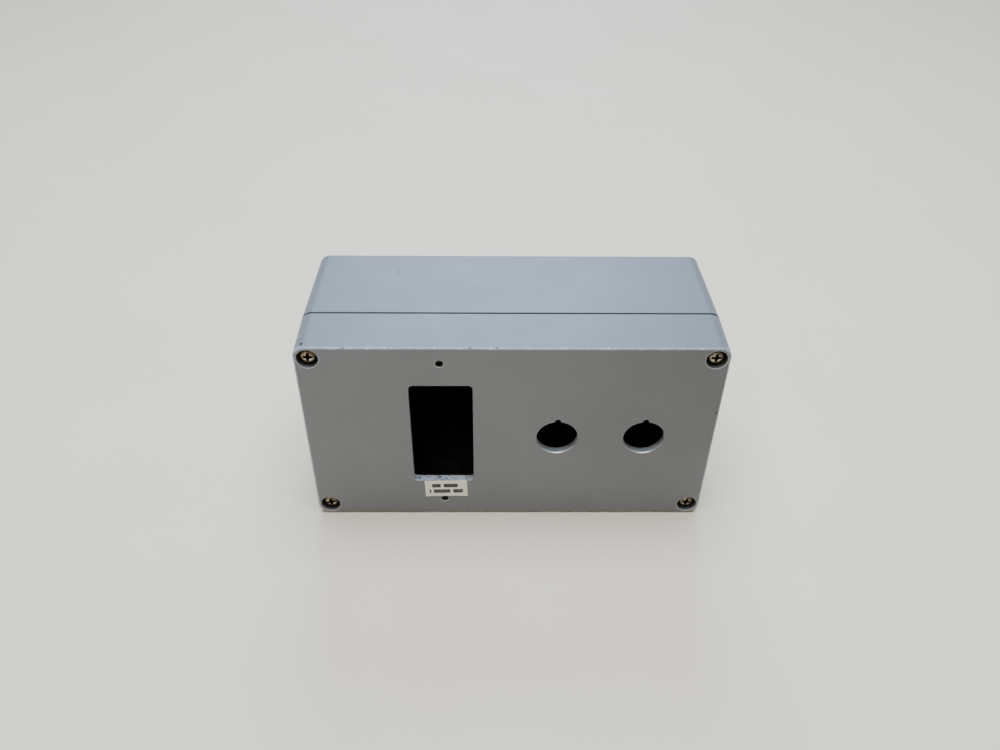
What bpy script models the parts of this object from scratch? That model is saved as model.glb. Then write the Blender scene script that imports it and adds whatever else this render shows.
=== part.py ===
"""Magnetic motor starter in a die-cast aluminium box: lid, base, seal, screws and the contactor inside.

Frame, in metres: X is the box's length, -Y is the lid's front, +Z is up. The box stands on its long
lower side, and the origin is the middle of that side, half-way between the lid's face and the back.
"""

import math

import bmesh
import bpy
from mathutils import Matrix, Vector

MM = 0.001
GAP = 0.3 * MM

# Box
LENGTH = 220 * MM
HEIGHT = 120 * MM
DEPTH = 90 * MM
MID_Z = HEIGHT / 2
FRONT_Y = -DEPTH / 2
BACK_Y = DEPTH / 2
LID_DEPTH = 30 * MM
SEAM_Y = FRONT_Y + LID_DEPTH
SEAM_GAP = 0.6 * MM
LID_RIM_Y = SEAM_Y - SEAM_GAP / 2
BASE_RIM_Y = SEAM_Y + SEAM_GAP / 2
LID_DRAFT = math.radians(0.6)
BASE_DRAFT = math.radians(1.0)
CORNER_RADIUS = 6.2 * MM
FRONT_EDGE_RADIUS = 1.4 * MM
BACK_EDGE_RADIUS = 1.5 * MM
RIM_EDGE_RADIUS = 0.35 * MM
WALL = 4 * MM
LID_FACE = 4 * MM
BACK_WALL = 3.9 * MM
LID_INNER_Y = FRONT_Y + LID_FACE
BACK_INNER_Y = BACK_Y - BACK_WALL

# Cavity, with its corners taken up by the screw pillars
CAVITY_X = LENGTH / 2 - WALL
CAVITY_Z = HEIGHT / 2 - WALL
PILLAR_X = 95 * MM
PILLAR_Z = 33.9 * MM
CAVITY_RADIUS = 2 * MM
PILLAR_RADIUS = 4 * MM

# Seal between lid and base
SEAL_LINE = 2 * MM
GROOVE_WIDTH = 2.2 * MM
GROOVE_DEPTH = 3.2 * MM
SEAL_WIDTH = GROOVE_WIDTH - 2 * GAP
TONGUE_HEIGHT = 1.6 * MM

# Openings in the lid
CUTOUT_LEFT = -53.5 * MM
CUTOUT_RIGHT = -20.2 * MM
CUTOUT_LOW = 26.8 * MM
CUTOUT_HIGH = 95.5 * MM
CUTOUT_RADIUS = 1.8 * MM
BUTTON_X = (24.9 * MM, 71.7 * MM)
BUTTON_Z = 59.5 * MM
BUTTON_RADIUS = 11.15 * MM
NOTCH_WIDTH = 3.3 * MM
NOTCH_REACH = 24.1 * MM
PLATE_HOLE_X = -36.8 * MM
PLATE_HOLE_Z = (12.1 * MM, 109.7 * MM)
PLATE_HOLE_RADIUS = 2.1 * MM

# Lid screws, and the wall-fixing holes beside them
SCREW_X = 102.5 * MM
SCREW_Z = 52.6 * MM
SCREW_LENGTH = 30 * MM
SCREW_RADIUS = 2.5 * MM
SCREW_HEAD_RADIUS = 4.6 * MM
SCREW_HEAD_HEIGHT = 3.1 * MM
SCREW_HOLE_RADIUS = 2.9 * MM
THREAD_HOLE_RADIUS = 2.8 * MM
COUNTERBORE_RADIUS = 5.5 * MM
COUNTERBORE_DEPTH = 5 * MM
HEAD_SEAT_Y = FRONT_Y + COUNTERBORE_DEPTH
SCREW_TURNS = {"top_left": -5, "top_right": -2, "bottom_left": 8, "bottom_right": -10}
RING_RADIUS = 3.7 * MM
RING_HOLE_RADIUS = SCREW_RADIUS + GAP
RING_THICKNESS = 1 * MM
RING_POCKET_RADIUS = 4 * MM
RING_TRAVEL = 5.7 * MM
RING_Y = LID_RIM_Y - 6 * MM
RING_POCKET_Y = RING_Y - RING_THICKNESS - RING_TRAVEL - GAP
WALL_HOLE_X = 103 * MM
WALL_HOLE_Z = 42 * MM
WALL_HOLE_RADIUS = 2.75 * MM
BOLT_POCKET_RADIUS = 4.5 * MM
BOLT_POCKET_DEPTH = 6 * MM

# Rating label
LABEL_WIDTH = 23.8 * MM
LABEL_HEIGHT = 12.2 * MM
LABEL_THICKNESS = 0.15 * MM
LABEL_CENTRE = (-35.7 * MM, 20.1 * MM)
LABEL_TILT = math.radians(1.3)
LABEL_GAP = 0.03 * MM

# Mounting rail, its screws and the earth stud
RAIL_HEIGHT = 35 * MM
RAIL_DEPTH = 7.5 * MM
RAIL_CHANNEL = 27 * MM
RAIL_SHEET = 1 * MM
RAIL_LENGTH = 200 * MM
BOSS_HEIGHT = 1.8 * MM
BOSS_RADIUS = 6 * MM
RAIL_BACK_Y = BACK_INNER_Y - BOSS_HEIGHT - GAP
RAIL_FRONT_Y = RAIL_BACK_Y - RAIL_DEPTH
RAIL_SCREW_X = 85 * MM
RAIL_SLOT = 12 * MM
RAIL_SLOT_WIDTH = 6.2 * MM
SMALL_SHANK_RADIUS = 2.2 * MM
SMALL_HOLE_RADIUS = 2.5 * MM
SMALL_HOLE_END_Y = BACK_Y - 1.2 * MM
SMALL_SCREW_TIP_Y = BACK_Y - 2 * MM
RAIL_SCREW_HEAD = (4.2 * MM, 2.6 * MM)
EARTH_X = 50 * MM
EARTH_Z = 25 * MM
EARTH_BOSS_HEIGHT = 4 * MM
EARTH_WASHER = 0.8 * MM
EARTH_WASHER_RADIUS = 5 * MM
EARTH_HEAD = (4 * MM, 3 * MM)

# Contactor: w is the height above the box's middle
COIL_X = -85 * MM
BODY_HALF_WIDTH = 18 * MM
BODY_HALF_HEIGHT = 31.5 * MM
MAGNET_WELL_HALF_WIDTH = 13.5 * MM
HOOK_REACH = 2.8 * MM
HOUSING_BACK_Y = RAIL_FRONT_Y + 4.5 * MM
HOUSING_FRONT_Y = HOUSING_BACK_Y - 36 * MM
STROKE = 3.4 * MM
CORE_HALF_WIDTH = 7 * MM
CORE_HALF_HEIGHT = 15 * MM
CORE_LEG = 5 * MM
CENTRE_LEG = 4 * MM
YOKE = 6 * MM
CORE_BACK_Y = HOUSING_BACK_Y - 8 * MM
CORE_FACE_Y = CORE_BACK_Y - 22.4 * MM
ARMATURE_FACE_Y = CORE_FACE_Y - STROKE - 0.2 * MM
ARMATURE_BACK_Y = ARMATURE_FACE_Y - 12 * MM
SHELF_Y = HOUSING_FRONT_Y - 13.2 * MM
SHELF_Z = (21.8 * MM, 29.4 * MM)
STRAP = 1.2 * MM
STRAP_HALF_WIDTH = 3 * MM
STRAP_BACK_Y = SHELF_Y - GAP
STRAP_FRONT_Y = STRAP_BACK_Y - STRAP
TIP = 0.8 * MM
TIP_Z = (9 * MM, 12 * MM)
STRAP_Z = (8 * MM, 28.8 * MM)
BRIDGE_BACK_Y = STRAP_FRONT_Y - 2 * TIP - STROKE - 0.2 * MM
BRIDGE_FRONT_Y = BRIDGE_BACK_Y - STRAP
BRIDGE_HALF_LENGTH = 12.6 * MM
BRIDGE_HALF_WIDTH = 2.8 * MM
TERMINAL_Z = 25.6 * MM
TERMINAL_PITCH = 8.6 * MM
POLES = {"left": -1.5, "middle": -0.5, "right": 0.5}
COIL_COLUMN = 1.5
TERMINAL_HEAD_RADIUS = 2.7 * MM
TERMINAL_SHANK_RADIUS = 1.3 * MM
TERMINAL_HOLE_RADIUS = 1.6 * MM
WELL_RADIUS = 3.2 * MM
DECK_BACK_Y = STRAP_FRONT_Y - GAP
DECK_FRONT_Y = DECK_BACK_Y - 4 * MM
COVER_BACK_Y = HOUSING_FRONT_Y - GAP
COVER_FRONT_Y = HOUSING_FRONT_Y - 30 * MM
COVER_WALL = 1.7 * MM
COVER_FACE = 2 * MM
WINDOW_HALF_WIDTH = 2.1 * MM
WINDOW_HALF_HEIGHT = 4.1 * MM
CARRIER_HALF_HEIGHT = 6.5 * MM
CARRIER_HALF_WIDTH = 16 * MM
CARRIER_FOOT = 21.2 * MM
SHOULDER_Z = 21 * MM
SPRING_Z = 18.8 * MM
SPRING_RADIUS = 2.1 * MM
SPRING_WIRE = 0.35 * MM
SPRING_TURNS = 4
CLIP_HALF_WIDTH = 5 * MM
CLIP_THICKNESS = 2.7 * MM
CLIP_GRIP = 2.6 * MM
CLIP_TAB = 5 * MM
CLIP_HOLE_WIDTH = 5 * MM

ROUND_STEPS = 20
SMALL_ROUND_STEPS = 12
CORNER_STEPS = 5
FILLET_STEPS = 3


def clear_scene():
    for thing in list(bpy.data.objects):
        bpy.data.objects.remove(thing)


def make_material(name, colour, roughness, metallic):
    material = bpy.data.materials.new(name)
    material.use_nodes = True
    shader = material.node_tree.nodes["Principled BSDF"]
    shader.inputs["Base Color"].default_value = (*colour, 1)
    shader.inputs["Roughness"].default_value = roughness
    shader.inputs["Metallic"].default_value = metallic
    return material


def make_object(bm, name, material, origin=(0, 0, 0)):
    """Turns a mesh in world coordinates into an object whose origin is at the point given."""
    bmesh.ops.recalc_face_normals(bm, faces=bm.faces)
    bmesh.ops.translate(bm, verts=bm.verts, vec=-Vector(origin))
    mesh = bpy.data.meshes.new(name)
    bm.to_mesh(mesh)
    bm.free()
    mesh.shade_smooth()
    mesh.set_sharp_from_angle(angle=math.radians(35))
    mesh.materials.append(material)
    thing = bpy.data.objects.new(name, mesh)
    thing.location = origin
    bpy.context.scene.collection.objects.link(thing)
    return thing


def make_helper(bm, name):
    """A cutter or an added shape: it shapes another object and isn't a piece itself."""
    bmesh.ops.recalc_face_normals(bm, faces=bm.faces)
    mesh = bpy.data.meshes.new(name)
    bm.to_mesh(mesh)
    bm.free()
    thing = bpy.data.objects.new(name, mesh)
    thing.hide_render = True
    thing.display_type = "WIRE"
    bpy.context.scene.collection.objects.link(thing)
    return thing


def combine(target, bm, operation, label):
    helper = make_helper(bm, f"{target.name}_{label}")
    modifier = target.modifiers.new(label, "BOOLEAN")
    modifier.operation = operation
    modifier.object = helper


def cut(target, bm, label):
    combine(target, bm, "DIFFERENCE", label)


def add(target, bm, label):
    combine(target, bm, "UNION", label)


def placed(u, v, along, axis):
    """The point at (u, v) in the section across the axis, the given distance along it."""
    points = {"X": (along, u, v), "Y": (u, along, v), "Z": (u, v, along)}
    return Vector(points[axis])


def loft_into(bm, loops, closed=False):
    """Skins loops of equal length. Closed joins the last to the first; otherwise both ends are capped."""
    rows = [[bm.verts.new(point) for point in loop] for loop in loops]
    pairs = list(zip(rows, rows[1:]))
    if closed:
        pairs.append((rows[-1], rows[0]))
    for first, second in pairs:
        for i, corner in enumerate(first):
            after = (i + 1) % len(first)
            bm.faces.new((corner, first[after], second[after], second[i]))
    if not closed:
        bm.faces.new(rows[0])
        bm.faces.new(rows[-1])


def prism(outline, low, high, axis="Y", bm=None):
    bm = bm or bmesh.new()
    loft_into(bm, [[placed(u, v, along, axis) for u, v in outline] for along in (low, high)])
    return bm


def ring_prism(outer, inner, low, high):
    """A closed band between two outlines with the same number of points."""
    bm = bmesh.new()
    walls = ((outer, low), (outer, high), (inner, high), (inner, low))
    loft_into(bm, [[placed(u, v, along, "Y") for u, v in line] for line, along in walls], closed=True)
    return bm


def rectangle(u_low, u_high, v_low, v_high):
    return [(u_low, v_low), (u_high, v_low), (u_high, v_high), (u_low, v_high)]


def circle(u, v, radius, steps=ROUND_STEPS):
    turns = [2 * math.pi * i / steps for i in range(steps)]
    return [(u + radius * math.cos(turn), v + radius * math.sin(turn)) for turn in turns]


def rounded(corners, radii, steps=CORNER_STEPS):
    """Rounds each corner of an outline with an arc of its own radius."""
    points = []
    for i, (corner, radius) in enumerate(zip(corners, radii)):
        here = Vector(corner)
        before = (Vector(corners[i - 1]) - here).normalized()
        after = (Vector(corners[(i + 1) % len(corners)]) - here).normalized()
        half = before.angle(after) / 2
        centre = here + (before + after).normalized() * radius / math.sin(half)
        start = here + before * radius / math.tan(half) - centre
        end = here + after * radius / math.tan(half) - centre
        sweep = start.angle_signed(end)
        for step in range(steps + 1):
            turned = start.copy()
            turned.rotate(Matrix.Rotation(-sweep * step / steps, 2))
            points.append(tuple(centre + turned))
    return points


def shell_outline(inset):
    """The box's rounded rectangle, drawn in by the inset, in X and Z."""
    half_x = LENGTH / 2 - inset
    half_z = HEIGHT / 2 - inset
    corners = rectangle(-half_x, half_x, MID_Z - half_z, MID_Z + half_z)
    return rounded(corners, [CORNER_RADIUS - inset / 2] * 4)


def pillar_outline(offset):
    """The cavity's outline, its four corners stepped round the pillars, moved outwards by the offset."""
    far_x, far_z = CAVITY_X + offset, CAVITY_Z + offset
    near_x, near_z = PILLAR_X + offset, PILLAR_Z + offset
    quarter = [(far_x, near_z), (near_x, near_z), (near_x, far_z)]
    corners = list(quarter)
    corners += [(-x, z) for x, z in reversed(quarter)]
    corners += [(-x, -z) for x, z in quarter]
    corners += [(x, -z) for x, z in reversed(quarter)]
    outwards = CAVITY_RADIUS + offset
    inwards = PILLAR_RADIUS - offset
    outline = rounded(corners, [outwards, inwards, outwards] * 4, FILLET_STEPS)
    return [(x, z + MID_Z) for x, z in outline]


def tapered_shell(name, material, rim_y, end_y, draft, edge_radius):
    """One half of the box: a small break at the rim, drafted sides and a rounded far edge."""
    towards_end = math.copysign(1, end_y - rim_y)
    span = abs(end_y - rim_y)
    stations = [(0, RIM_EDGE_RADIUS), (RIM_EDGE_RADIUS, 0)]
    for step in range(FILLET_STEPS + 1):
        turn = math.pi / 2 * step / FILLET_STEPS
        stations.append(
            (span - edge_radius * (1 - math.sin(turn)), edge_radius * (1 - math.cos(turn)))
        )
    loops = []
    for distance, inset in stations:
        y = rim_y + towards_end * distance
        outline = shell_outline(distance * math.tan(draft) + inset)
        loops.append([placed(x, z, y, "Y") for x, z in outline])
    bm = bmesh.new()
    loft_into(bm, loops)
    return make_object(bm, name, material)


def turned(profile, x, z, bm=None, steps=ROUND_STEPS):
    """A solid of revolution about the line along Y through (x, z), from (radius, y) points."""
    bm = bm or bmesh.new()
    loft_into(bm, [[placed(u, v, y, "Y") for u, v in circle(x, z, r, steps)] for r, y in profile])
    return bm


def corner_points(half_x, half_z):
    """The name and place of each of the box's corners, for a pattern of that size."""
    for height, up in (("top", 1), ("bottom", -1)):
        for side, right in (("left", -1), ("right", 1)):
            yield f"{height}_{side}", right * half_x, MID_Z + up * half_z


def button_outline(x):
    """A push-button hole with its locating notch at the top."""
    half = NOTCH_WIDTH / 2
    start = math.pi / 2 + math.asin(half / BUTTON_RADIUS)
    sweep = 2 * math.pi - 2 * math.asin(half / BUTTON_RADIUS)
    steps = 2 * ROUND_STEPS
    turns = [start + sweep * i / steps for i in range(steps + 1)]
    points = [
        (x + BUTTON_RADIUS * math.cos(turn), BUTTON_Z + BUTTON_RADIUS * math.sin(turn))
        for turn in turns
    ]
    top = BUTTON_Z + NOTCH_REACH - BUTTON_RADIUS
    return [*points, (x + half, top), (x - half, top)]


def cut_lid_openings(lid):
    low, high = FRONT_Y - MM, LID_INNER_Y + MM
    cutout = rectangle(CUTOUT_LEFT, CUTOUT_RIGHT, CUTOUT_LOW, CUTOUT_HIGH)
    openings = prism(rounded(cutout, [CUTOUT_RADIUS] * 4), low, high)
    for x in BUTTON_X:
        prism(button_outline(x), low, high, bm=openings)
    for z in PLATE_HOLE_Z:
        prism(circle(PLATE_HOLE_X, z, PLATE_HOLE_RADIUS), low, high, bm=openings)
    cut(lid, openings, "openings")


def cut_lid_screw_holes(lid):
    holes = bmesh.new()
    profile = [
        (COUNTERBORE_RADIUS, FRONT_Y - MM),
        (COUNTERBORE_RADIUS, HEAD_SEAT_Y),
        (SCREW_HOLE_RADIUS, HEAD_SEAT_Y),
        (SCREW_HOLE_RADIUS, RING_POCKET_Y),
        (RING_POCKET_RADIUS, RING_POCKET_Y),
        (RING_POCKET_RADIUS, LID_RIM_Y + MM),
    ]
    for _, x, z in corner_points(SCREW_X, SCREW_Z):
        turned(profile, x, z, holes)
    for _, x, z in corner_points(WALL_HOLE_X, WALL_HOLE_Z):
        outline = circle(x, z, BOLT_POCKET_RADIUS)
        prism(outline, LID_RIM_Y - BOLT_POCKET_DEPTH, LID_RIM_Y + MM, bm=holes)
    cut(lid, holes, "screw_holes")


def make_lid(material):
    lid = tapered_shell("lid", material, LID_RIM_Y, FRONT_Y, LID_DRAFT, FRONT_EDGE_RADIUS)
    cut(lid, prism(pillar_outline(0), LID_INNER_Y, LID_RIM_Y + MM), "cavity")
    half = GROOVE_WIDTH / 2
    outer = pillar_outline(SEAL_LINE + half)
    inner = pillar_outline(SEAL_LINE - half)
    cut(lid, ring_prism(outer, inner, LID_RIM_Y - GROOVE_DEPTH, LID_RIM_Y + MM), "groove")
    cut_lid_openings(lid)
    cut_lid_screw_holes(lid)


def make_base(material):
    base = tapered_shell("base", material, BASE_RIM_Y, BACK_Y, BASE_DRAFT, BACK_EDGE_RADIUS)
    cut(base, prism(pillar_outline(0), BASE_RIM_Y - MM, BACK_INNER_Y), "cavity")
    half = SEAL_WIDTH / 2
    outer = pillar_outline(SEAL_LINE + half)
    inner = pillar_outline(SEAL_LINE - half)
    add(base, ring_prism(outer, inner, BASE_RIM_Y - TONGUE_HEIGHT, BASE_RIM_Y + MM), "tongue")
    bosses = bmesh.new()
    for x in (-RAIL_SCREW_X, RAIL_SCREW_X):
        outline = circle(x, MID_Z, BOSS_RADIUS)
        prism(outline, BACK_INNER_Y - BOSS_HEIGHT, BACK_INNER_Y + MM, bm=bosses)
    outline = circle(EARTH_X, EARTH_Z, BOSS_RADIUS)
    prism(outline, BACK_INNER_Y - EARTH_BOSS_HEIGHT, BACK_INNER_Y + MM, bm=bosses)
    add(base, bosses, "bosses")
    cut_base_holes(base)


def cut_base_holes(base):
    holes = bmesh.new()
    thread_end = HEAD_SEAT_Y + SCREW_LENGTH + 4 * MM
    for _, x, z in corner_points(SCREW_X, SCREW_Z):
        prism(circle(x, z, THREAD_HOLE_RADIUS), BASE_RIM_Y - MM, thread_end, bm=holes)
    for _, x, z in corner_points(WALL_HOLE_X, WALL_HOLE_Z):
        prism(circle(x, z, WALL_HOLE_RADIUS), BASE_RIM_Y - MM, BACK_Y + MM, bm=holes)
    for x, z in ((-RAIL_SCREW_X, MID_Z), (RAIL_SCREW_X, MID_Z), (EARTH_X, EARTH_Z)):
        start = BACK_INNER_Y - EARTH_BOSS_HEIGHT - MM
        prism(circle(x, z, SMALL_HOLE_RADIUS), start, SMALL_HOLE_END_Y, bm=holes)
    cut(base, holes, "holes")


def make_seal(material):
    half = SEAL_WIDTH / 2
    outer = pillar_outline(SEAL_LINE + half)
    inner = pillar_outline(SEAL_LINE - half)
    bottom = LID_RIM_Y - GROOVE_DEPTH + GAP
    top = BASE_RIM_Y - TONGUE_HEIGHT - GAP
    make_object(ring_prism(outer, inner, bottom, top), "lid_seal", material)


def cross_recess(x, z, radius, front_y, depth, turn):
    """Two crossed wedges that narrow with depth, for a cross-head screw."""
    for quarter in (0, math.pi / 2):
        loops = []
        for scale, y in ((1, front_y), (0.45, front_y + depth)):
            corners = rectangle(-radius * scale, radius * scale, -radius * 0.22, radius * 0.22)
            spun = [Vector(corner) for corner in corners]
            for corner in spun:
                corner.rotate(Matrix.Rotation(turn + quarter, 2))
            loops.append([placed(x + corner.x, z + corner.y, y, "Y") for corner in spun])
        wedge = bmesh.new()
        loft_into(wedge, loops)
        yield wedge


def make_screw(name, material, place, seat_y, tip_y, head, shank_radius, turn=0.0):
    """A domed cross-head screw along Y: head is its radius and height, and the head faces -Y."""
    x, z = place
    radius, height = head
    profile = [(shank_radius * 0.6, tip_y), (shank_radius, tip_y - shank_radius * 0.5)]
    profile += [(shank_radius, seat_y), (radius, seat_y), (radius, seat_y - height * 0.35)]
    for step in range(1, FILLET_STEPS + 1):
        lift = math.pi / 2 * step / (FILLET_STEPS + 1)
        profile.append((radius * math.cos(lift), seat_y - height * (0.35 + 0.65 * math.sin(lift))))
    screw = make_object(turned(profile, x, z), name, material, (x, seat_y, z))
    recess_front = seat_y - height - 0.1 * MM
    for i, wedge in enumerate(cross_recess(x, z, radius * 0.6, recess_front, height * 0.75, turn)):
        cut(screw, wedge, f"recess_{i}")
    return screw


def make_lid_screws(steel, nylon):
    for name, x, z in corner_points(SCREW_X, SCREW_Z):
        turn = math.radians(SCREW_TURNS[name])
        head = (SCREW_HEAD_RADIUS, SCREW_HEAD_HEIGHT)
        tip_y = HEAD_SEAT_Y + SCREW_LENGTH
        seat_y = HEAD_SEAT_Y - GAP
        make_screw(f"lid_screw_{name}", steel, (x, z), seat_y, tip_y, head, SCREW_RADIUS, turn)
        ring = ring_prism(
            circle(x, z, RING_RADIUS),
            circle(x, z, RING_HOLE_RADIUS),
            RING_Y - RING_THICKNESS,
            RING_Y,
        )
        make_object(ring, f"captive_ring_{name}", nylon, (x, RING_Y, z))


def make_label(material):
    half_x, half_z = LABEL_WIDTH / 2, LABEL_HEIGHT / 2
    corners = rectangle(-half_x, half_x, -half_z, half_z)
    front = FRONT_Y - LABEL_GAP - LABEL_THICKNESS
    bm = prism(rounded(corners, [0.4 * MM] * 4, 2), front, front + LABEL_THICKNESS)
    bmesh.ops.rotate(bm, verts=bm.verts, cent=(0, 0, 0), matrix=Matrix.Rotation(-LABEL_TILT, 3, "Y"))
    x, z = LABEL_CENTRE
    bmesh.ops.translate(bm, verts=bm.verts, vec=(x, 0, z))
    make_object(bm, "rating_label", material, (x, FRONT_Y, z))


def make_rail(material):
    """A top-hat rail, whose flanges face the lid."""
    flange = RAIL_HEIGHT / 2
    channel = RAIL_CHANNEL / 2
    sheet = RAIL_SHEET
    upper = [
        (RAIL_FRONT_Y, flange),
        (RAIL_FRONT_Y, channel - sheet),
        (RAIL_BACK_Y - sheet, channel - sheet),
    ]
    lower = [(y, -w) for y, w in reversed(upper)]
    outside = [
        (RAIL_FRONT_Y + sheet, -flange),
        (RAIL_FRONT_Y + sheet, -channel),
        (RAIL_BACK_Y, -channel),
        (RAIL_BACK_Y, channel),
        (RAIL_FRONT_Y + sheet, channel),
        (RAIL_FRONT_Y + sheet, flange),
    ]
    outline = [(y, MID_Z + w) for y, w in upper + lower + outside]
    rail = make_object(
        prism(outline, -RAIL_LENGTH / 2, RAIL_LENGTH / 2, "X"), "mounting_rail", material
    )
    slots = bmesh.new()
    for x in (-RAIL_SCREW_X, RAIL_SCREW_X):
        half_x, half_z = RAIL_SLOT / 2, RAIL_SLOT_WIDTH / 2
        corners = rectangle(x - half_x, x + half_x, MID_Z - half_z, MID_Z + half_z)
        outline = rounded(corners, [half_z * 0.98] * 4)
        prism(outline, RAIL_BACK_Y - 2 * sheet, RAIL_BACK_Y + sheet, bm=slots)
    cut(rail, slots, "slots")


def make_rail_screws(steel):
    seat_y = RAIL_BACK_Y - RAIL_SHEET - GAP
    for side, x in (("left", -RAIL_SCREW_X), ("right", RAIL_SCREW_X)):
        make_screw(
            f"rail_screw_{side}",
            steel,
            (x, MID_Z),
            seat_y,
            SMALL_SCREW_TIP_Y,
            RAIL_SCREW_HEAD,
            SMALL_SHANK_RADIUS,
        )


def make_earth_screw(brass, steel):
    place = (EARTH_X, EARTH_Z)
    boss_y = BACK_INNER_Y - EARTH_BOSS_HEIGHT
    washer = ring_prism(
        circle(*place, EARTH_WASHER_RADIUS),
        circle(*place, SMALL_HOLE_RADIUS),
        boss_y - GAP - EARTH_WASHER,
        boss_y - GAP,
    )
    make_object(washer, "earth_washer", steel, (EARTH_X, boss_y, EARTH_Z))
    seat_y = boss_y - EARTH_WASHER - 2 * GAP
    make_screw(
        "earth_screw", brass, place, seat_y, SMALL_SCREW_TIP_Y, EARTH_HEAD, SMALL_SHANK_RADIUS
    )


def at_middle(outline):
    """Lifts an outline drawn about the contactor's own middle to its height in the box."""
    return [(u, w + MID_Z) for u, w in outline]


def across(outline, half_width, x=COIL_X, bm=None):
    """A prism of the contactor: an outline in Y and w, carried across X."""
    return prism(at_middle(outline), x - half_width, x + half_width, "X", bm)


def mirrored(points):
    """Adds the lower half of an outline to its upper half, in Y and w."""
    return points + [(y, -w) for y, w in reversed(points)]


def column_x(column):
    return COIL_X + column * TERMINAL_PITCH


def terminal_places():
    """The name and place of each terminal, by column and by row."""
    columns = {**POLES, "coil": COIL_COLUMN}
    for row, up in (("upper", 1), ("lower", -1)):
        for name, column in columns.items():
            yield f"{name}_{row}", column_x(column), up


def make_contactor_housing(plastic):
    """The rear half: it holds the magnet and the terminals, and hooks onto the rail."""
    near, far = SHELF_Z
    front = [
        (HOUSING_BACK_Y, BODY_HALF_HEIGHT),
        (HOUSING_FRONT_Y, BODY_HALF_HEIGHT),
        (HOUSING_FRONT_Y, far),
        (SHELF_Y, far),
        (SHELF_Y, near),
        (HOUSING_FRONT_Y, near),
    ]
    slot_y = RAIL_FRONT_Y - GAP
    hook_y = RAIL_FRONT_Y + RAIL_SHEET + GAP
    flange = RAIL_HEIGHT / 2 + GAP
    back = [
        (HOUSING_BACK_Y, -flange),
        (slot_y, -flange),
        (slot_y, flange),
        (hook_y, flange),
        (hook_y, flange - HOOK_REACH),
        (HOUSING_BACK_Y, flange - HOOK_REACH),
    ]
    housing = make_object(
        across(mirrored(front) + back, BODY_HALF_WIDTH), "contactor_housing", plastic
    )
    sides = bmesh.new()
    inner = BODY_HALF_WIDTH - COVER_WALL - GAP
    shelves = rectangle(SHELF_Y - MM, HOUSING_FRONT_Y, -BODY_HALF_HEIGHT, BODY_HALF_HEIGHT)
    for right in (-1, 1):
        across(shelves, 2 * MM, COIL_X + right * (inner + 2 * MM), sides)
    cut(housing, sides, "shelf_sides")
    half = CORE_HALF_HEIGHT + MM
    well = rectangle(HOUSING_FRONT_Y - MM, CORE_BACK_Y + GAP, -half, half)
    cut(housing, across(well, MAGNET_WELL_HALF_WIDTH), "magnet_well")
    channel = rectangle(hook_y, HOUSING_BACK_Y + MM, -BODY_HALF_HEIGHT - MM, -flange + MM)
    cut(housing, across(channel, CLIP_HALF_WIDTH + GAP), "clip_channel")
    holes = bmesh.new()
    for _, x, up in terminal_places():
        outline = circle(x, MID_Z + up * TERMINAL_Z, TERMINAL_HOLE_RADIUS, SMALL_ROUND_STEPS)
        prism(outline, SHELF_Y - MM, SHELF_Y + 9 * MM, bm=holes)
    cut(housing, holes, "terminal_holes")


def make_contactor_cover(plastic):
    """The front half: a stepped shell with a well over each terminal screw and an indicator window."""
    outside = [
        (COVER_BACK_Y, BODY_HALF_HEIGHT),
        (DECK_FRONT_Y, BODY_HALF_HEIGHT),
        (DECK_FRONT_Y, SHOULDER_Z),
        (COVER_FRONT_Y, SHOULDER_Z),
    ]
    inside = [
        (COVER_BACK_Y + MM, BODY_HALF_HEIGHT - COVER_WALL),
        (DECK_BACK_Y, BODY_HALF_HEIGHT - COVER_WALL),
        (DECK_BACK_Y, SHOULDER_Z - COVER_FACE),
        (COVER_FRONT_Y + COVER_FACE, SHOULDER_Z - COVER_FACE),
    ]
    cover = make_object(across(mirrored(outside), BODY_HALF_WIDTH), "contactor_cover", plastic)
    cut(cover, across(mirrored(inside), BODY_HALF_WIDTH - COVER_WALL), "inside")
    wells = bmesh.new()
    entries = bmesh.new()
    entry_y = (DECK_FRONT_Y + DECK_BACK_Y) / 2
    for _, x, up in terminal_places():
        outline = circle(x, MID_Z + up * TERMINAL_Z, WELL_RADIUS, SMALL_ROUND_STEPS)
        prism(outline, DECK_FRONT_Y - MM, DECK_BACK_Y + MM, bm=wells)
        ends = sorted((MID_Z + up * TERMINAL_Z, MID_Z + up * (BODY_HALF_HEIGHT + MM)))
        prism(circle(x, entry_y, TERMINAL_HOLE_RADIUS, SMALL_ROUND_STEPS), *ends, "Z", entries)
    cut(cover, wells, "terminal_wells")
    cut(cover, entries, "wire_entries")
    window_back = COVER_FRONT_Y + COVER_FACE + MM
    window = rectangle(COVER_FRONT_Y - MM, window_back, -WINDOW_HALF_HEIGHT, WINDOW_HALF_HEIGHT)
    cut(cover, across(window, WINDOW_HALF_WIDTH), "window")


def core_outline(back_y, face_y):
    """An E of laminated steel: a yoke at the back, and three legs that reach the pole faces."""
    inner_y = back_y + math.copysign(YOKE, face_y - back_y)
    upper = [
        (back_y, CORE_HALF_HEIGHT),
        (face_y, CORE_HALF_HEIGHT),
        (face_y, CORE_HALF_HEIGHT - CORE_LEG),
        (inner_y, CORE_HALF_HEIGHT - CORE_LEG),
        (inner_y, CENTRE_LEG),
        (face_y, CENTRE_LEG),
    ]
    return mirrored(upper)


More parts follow.
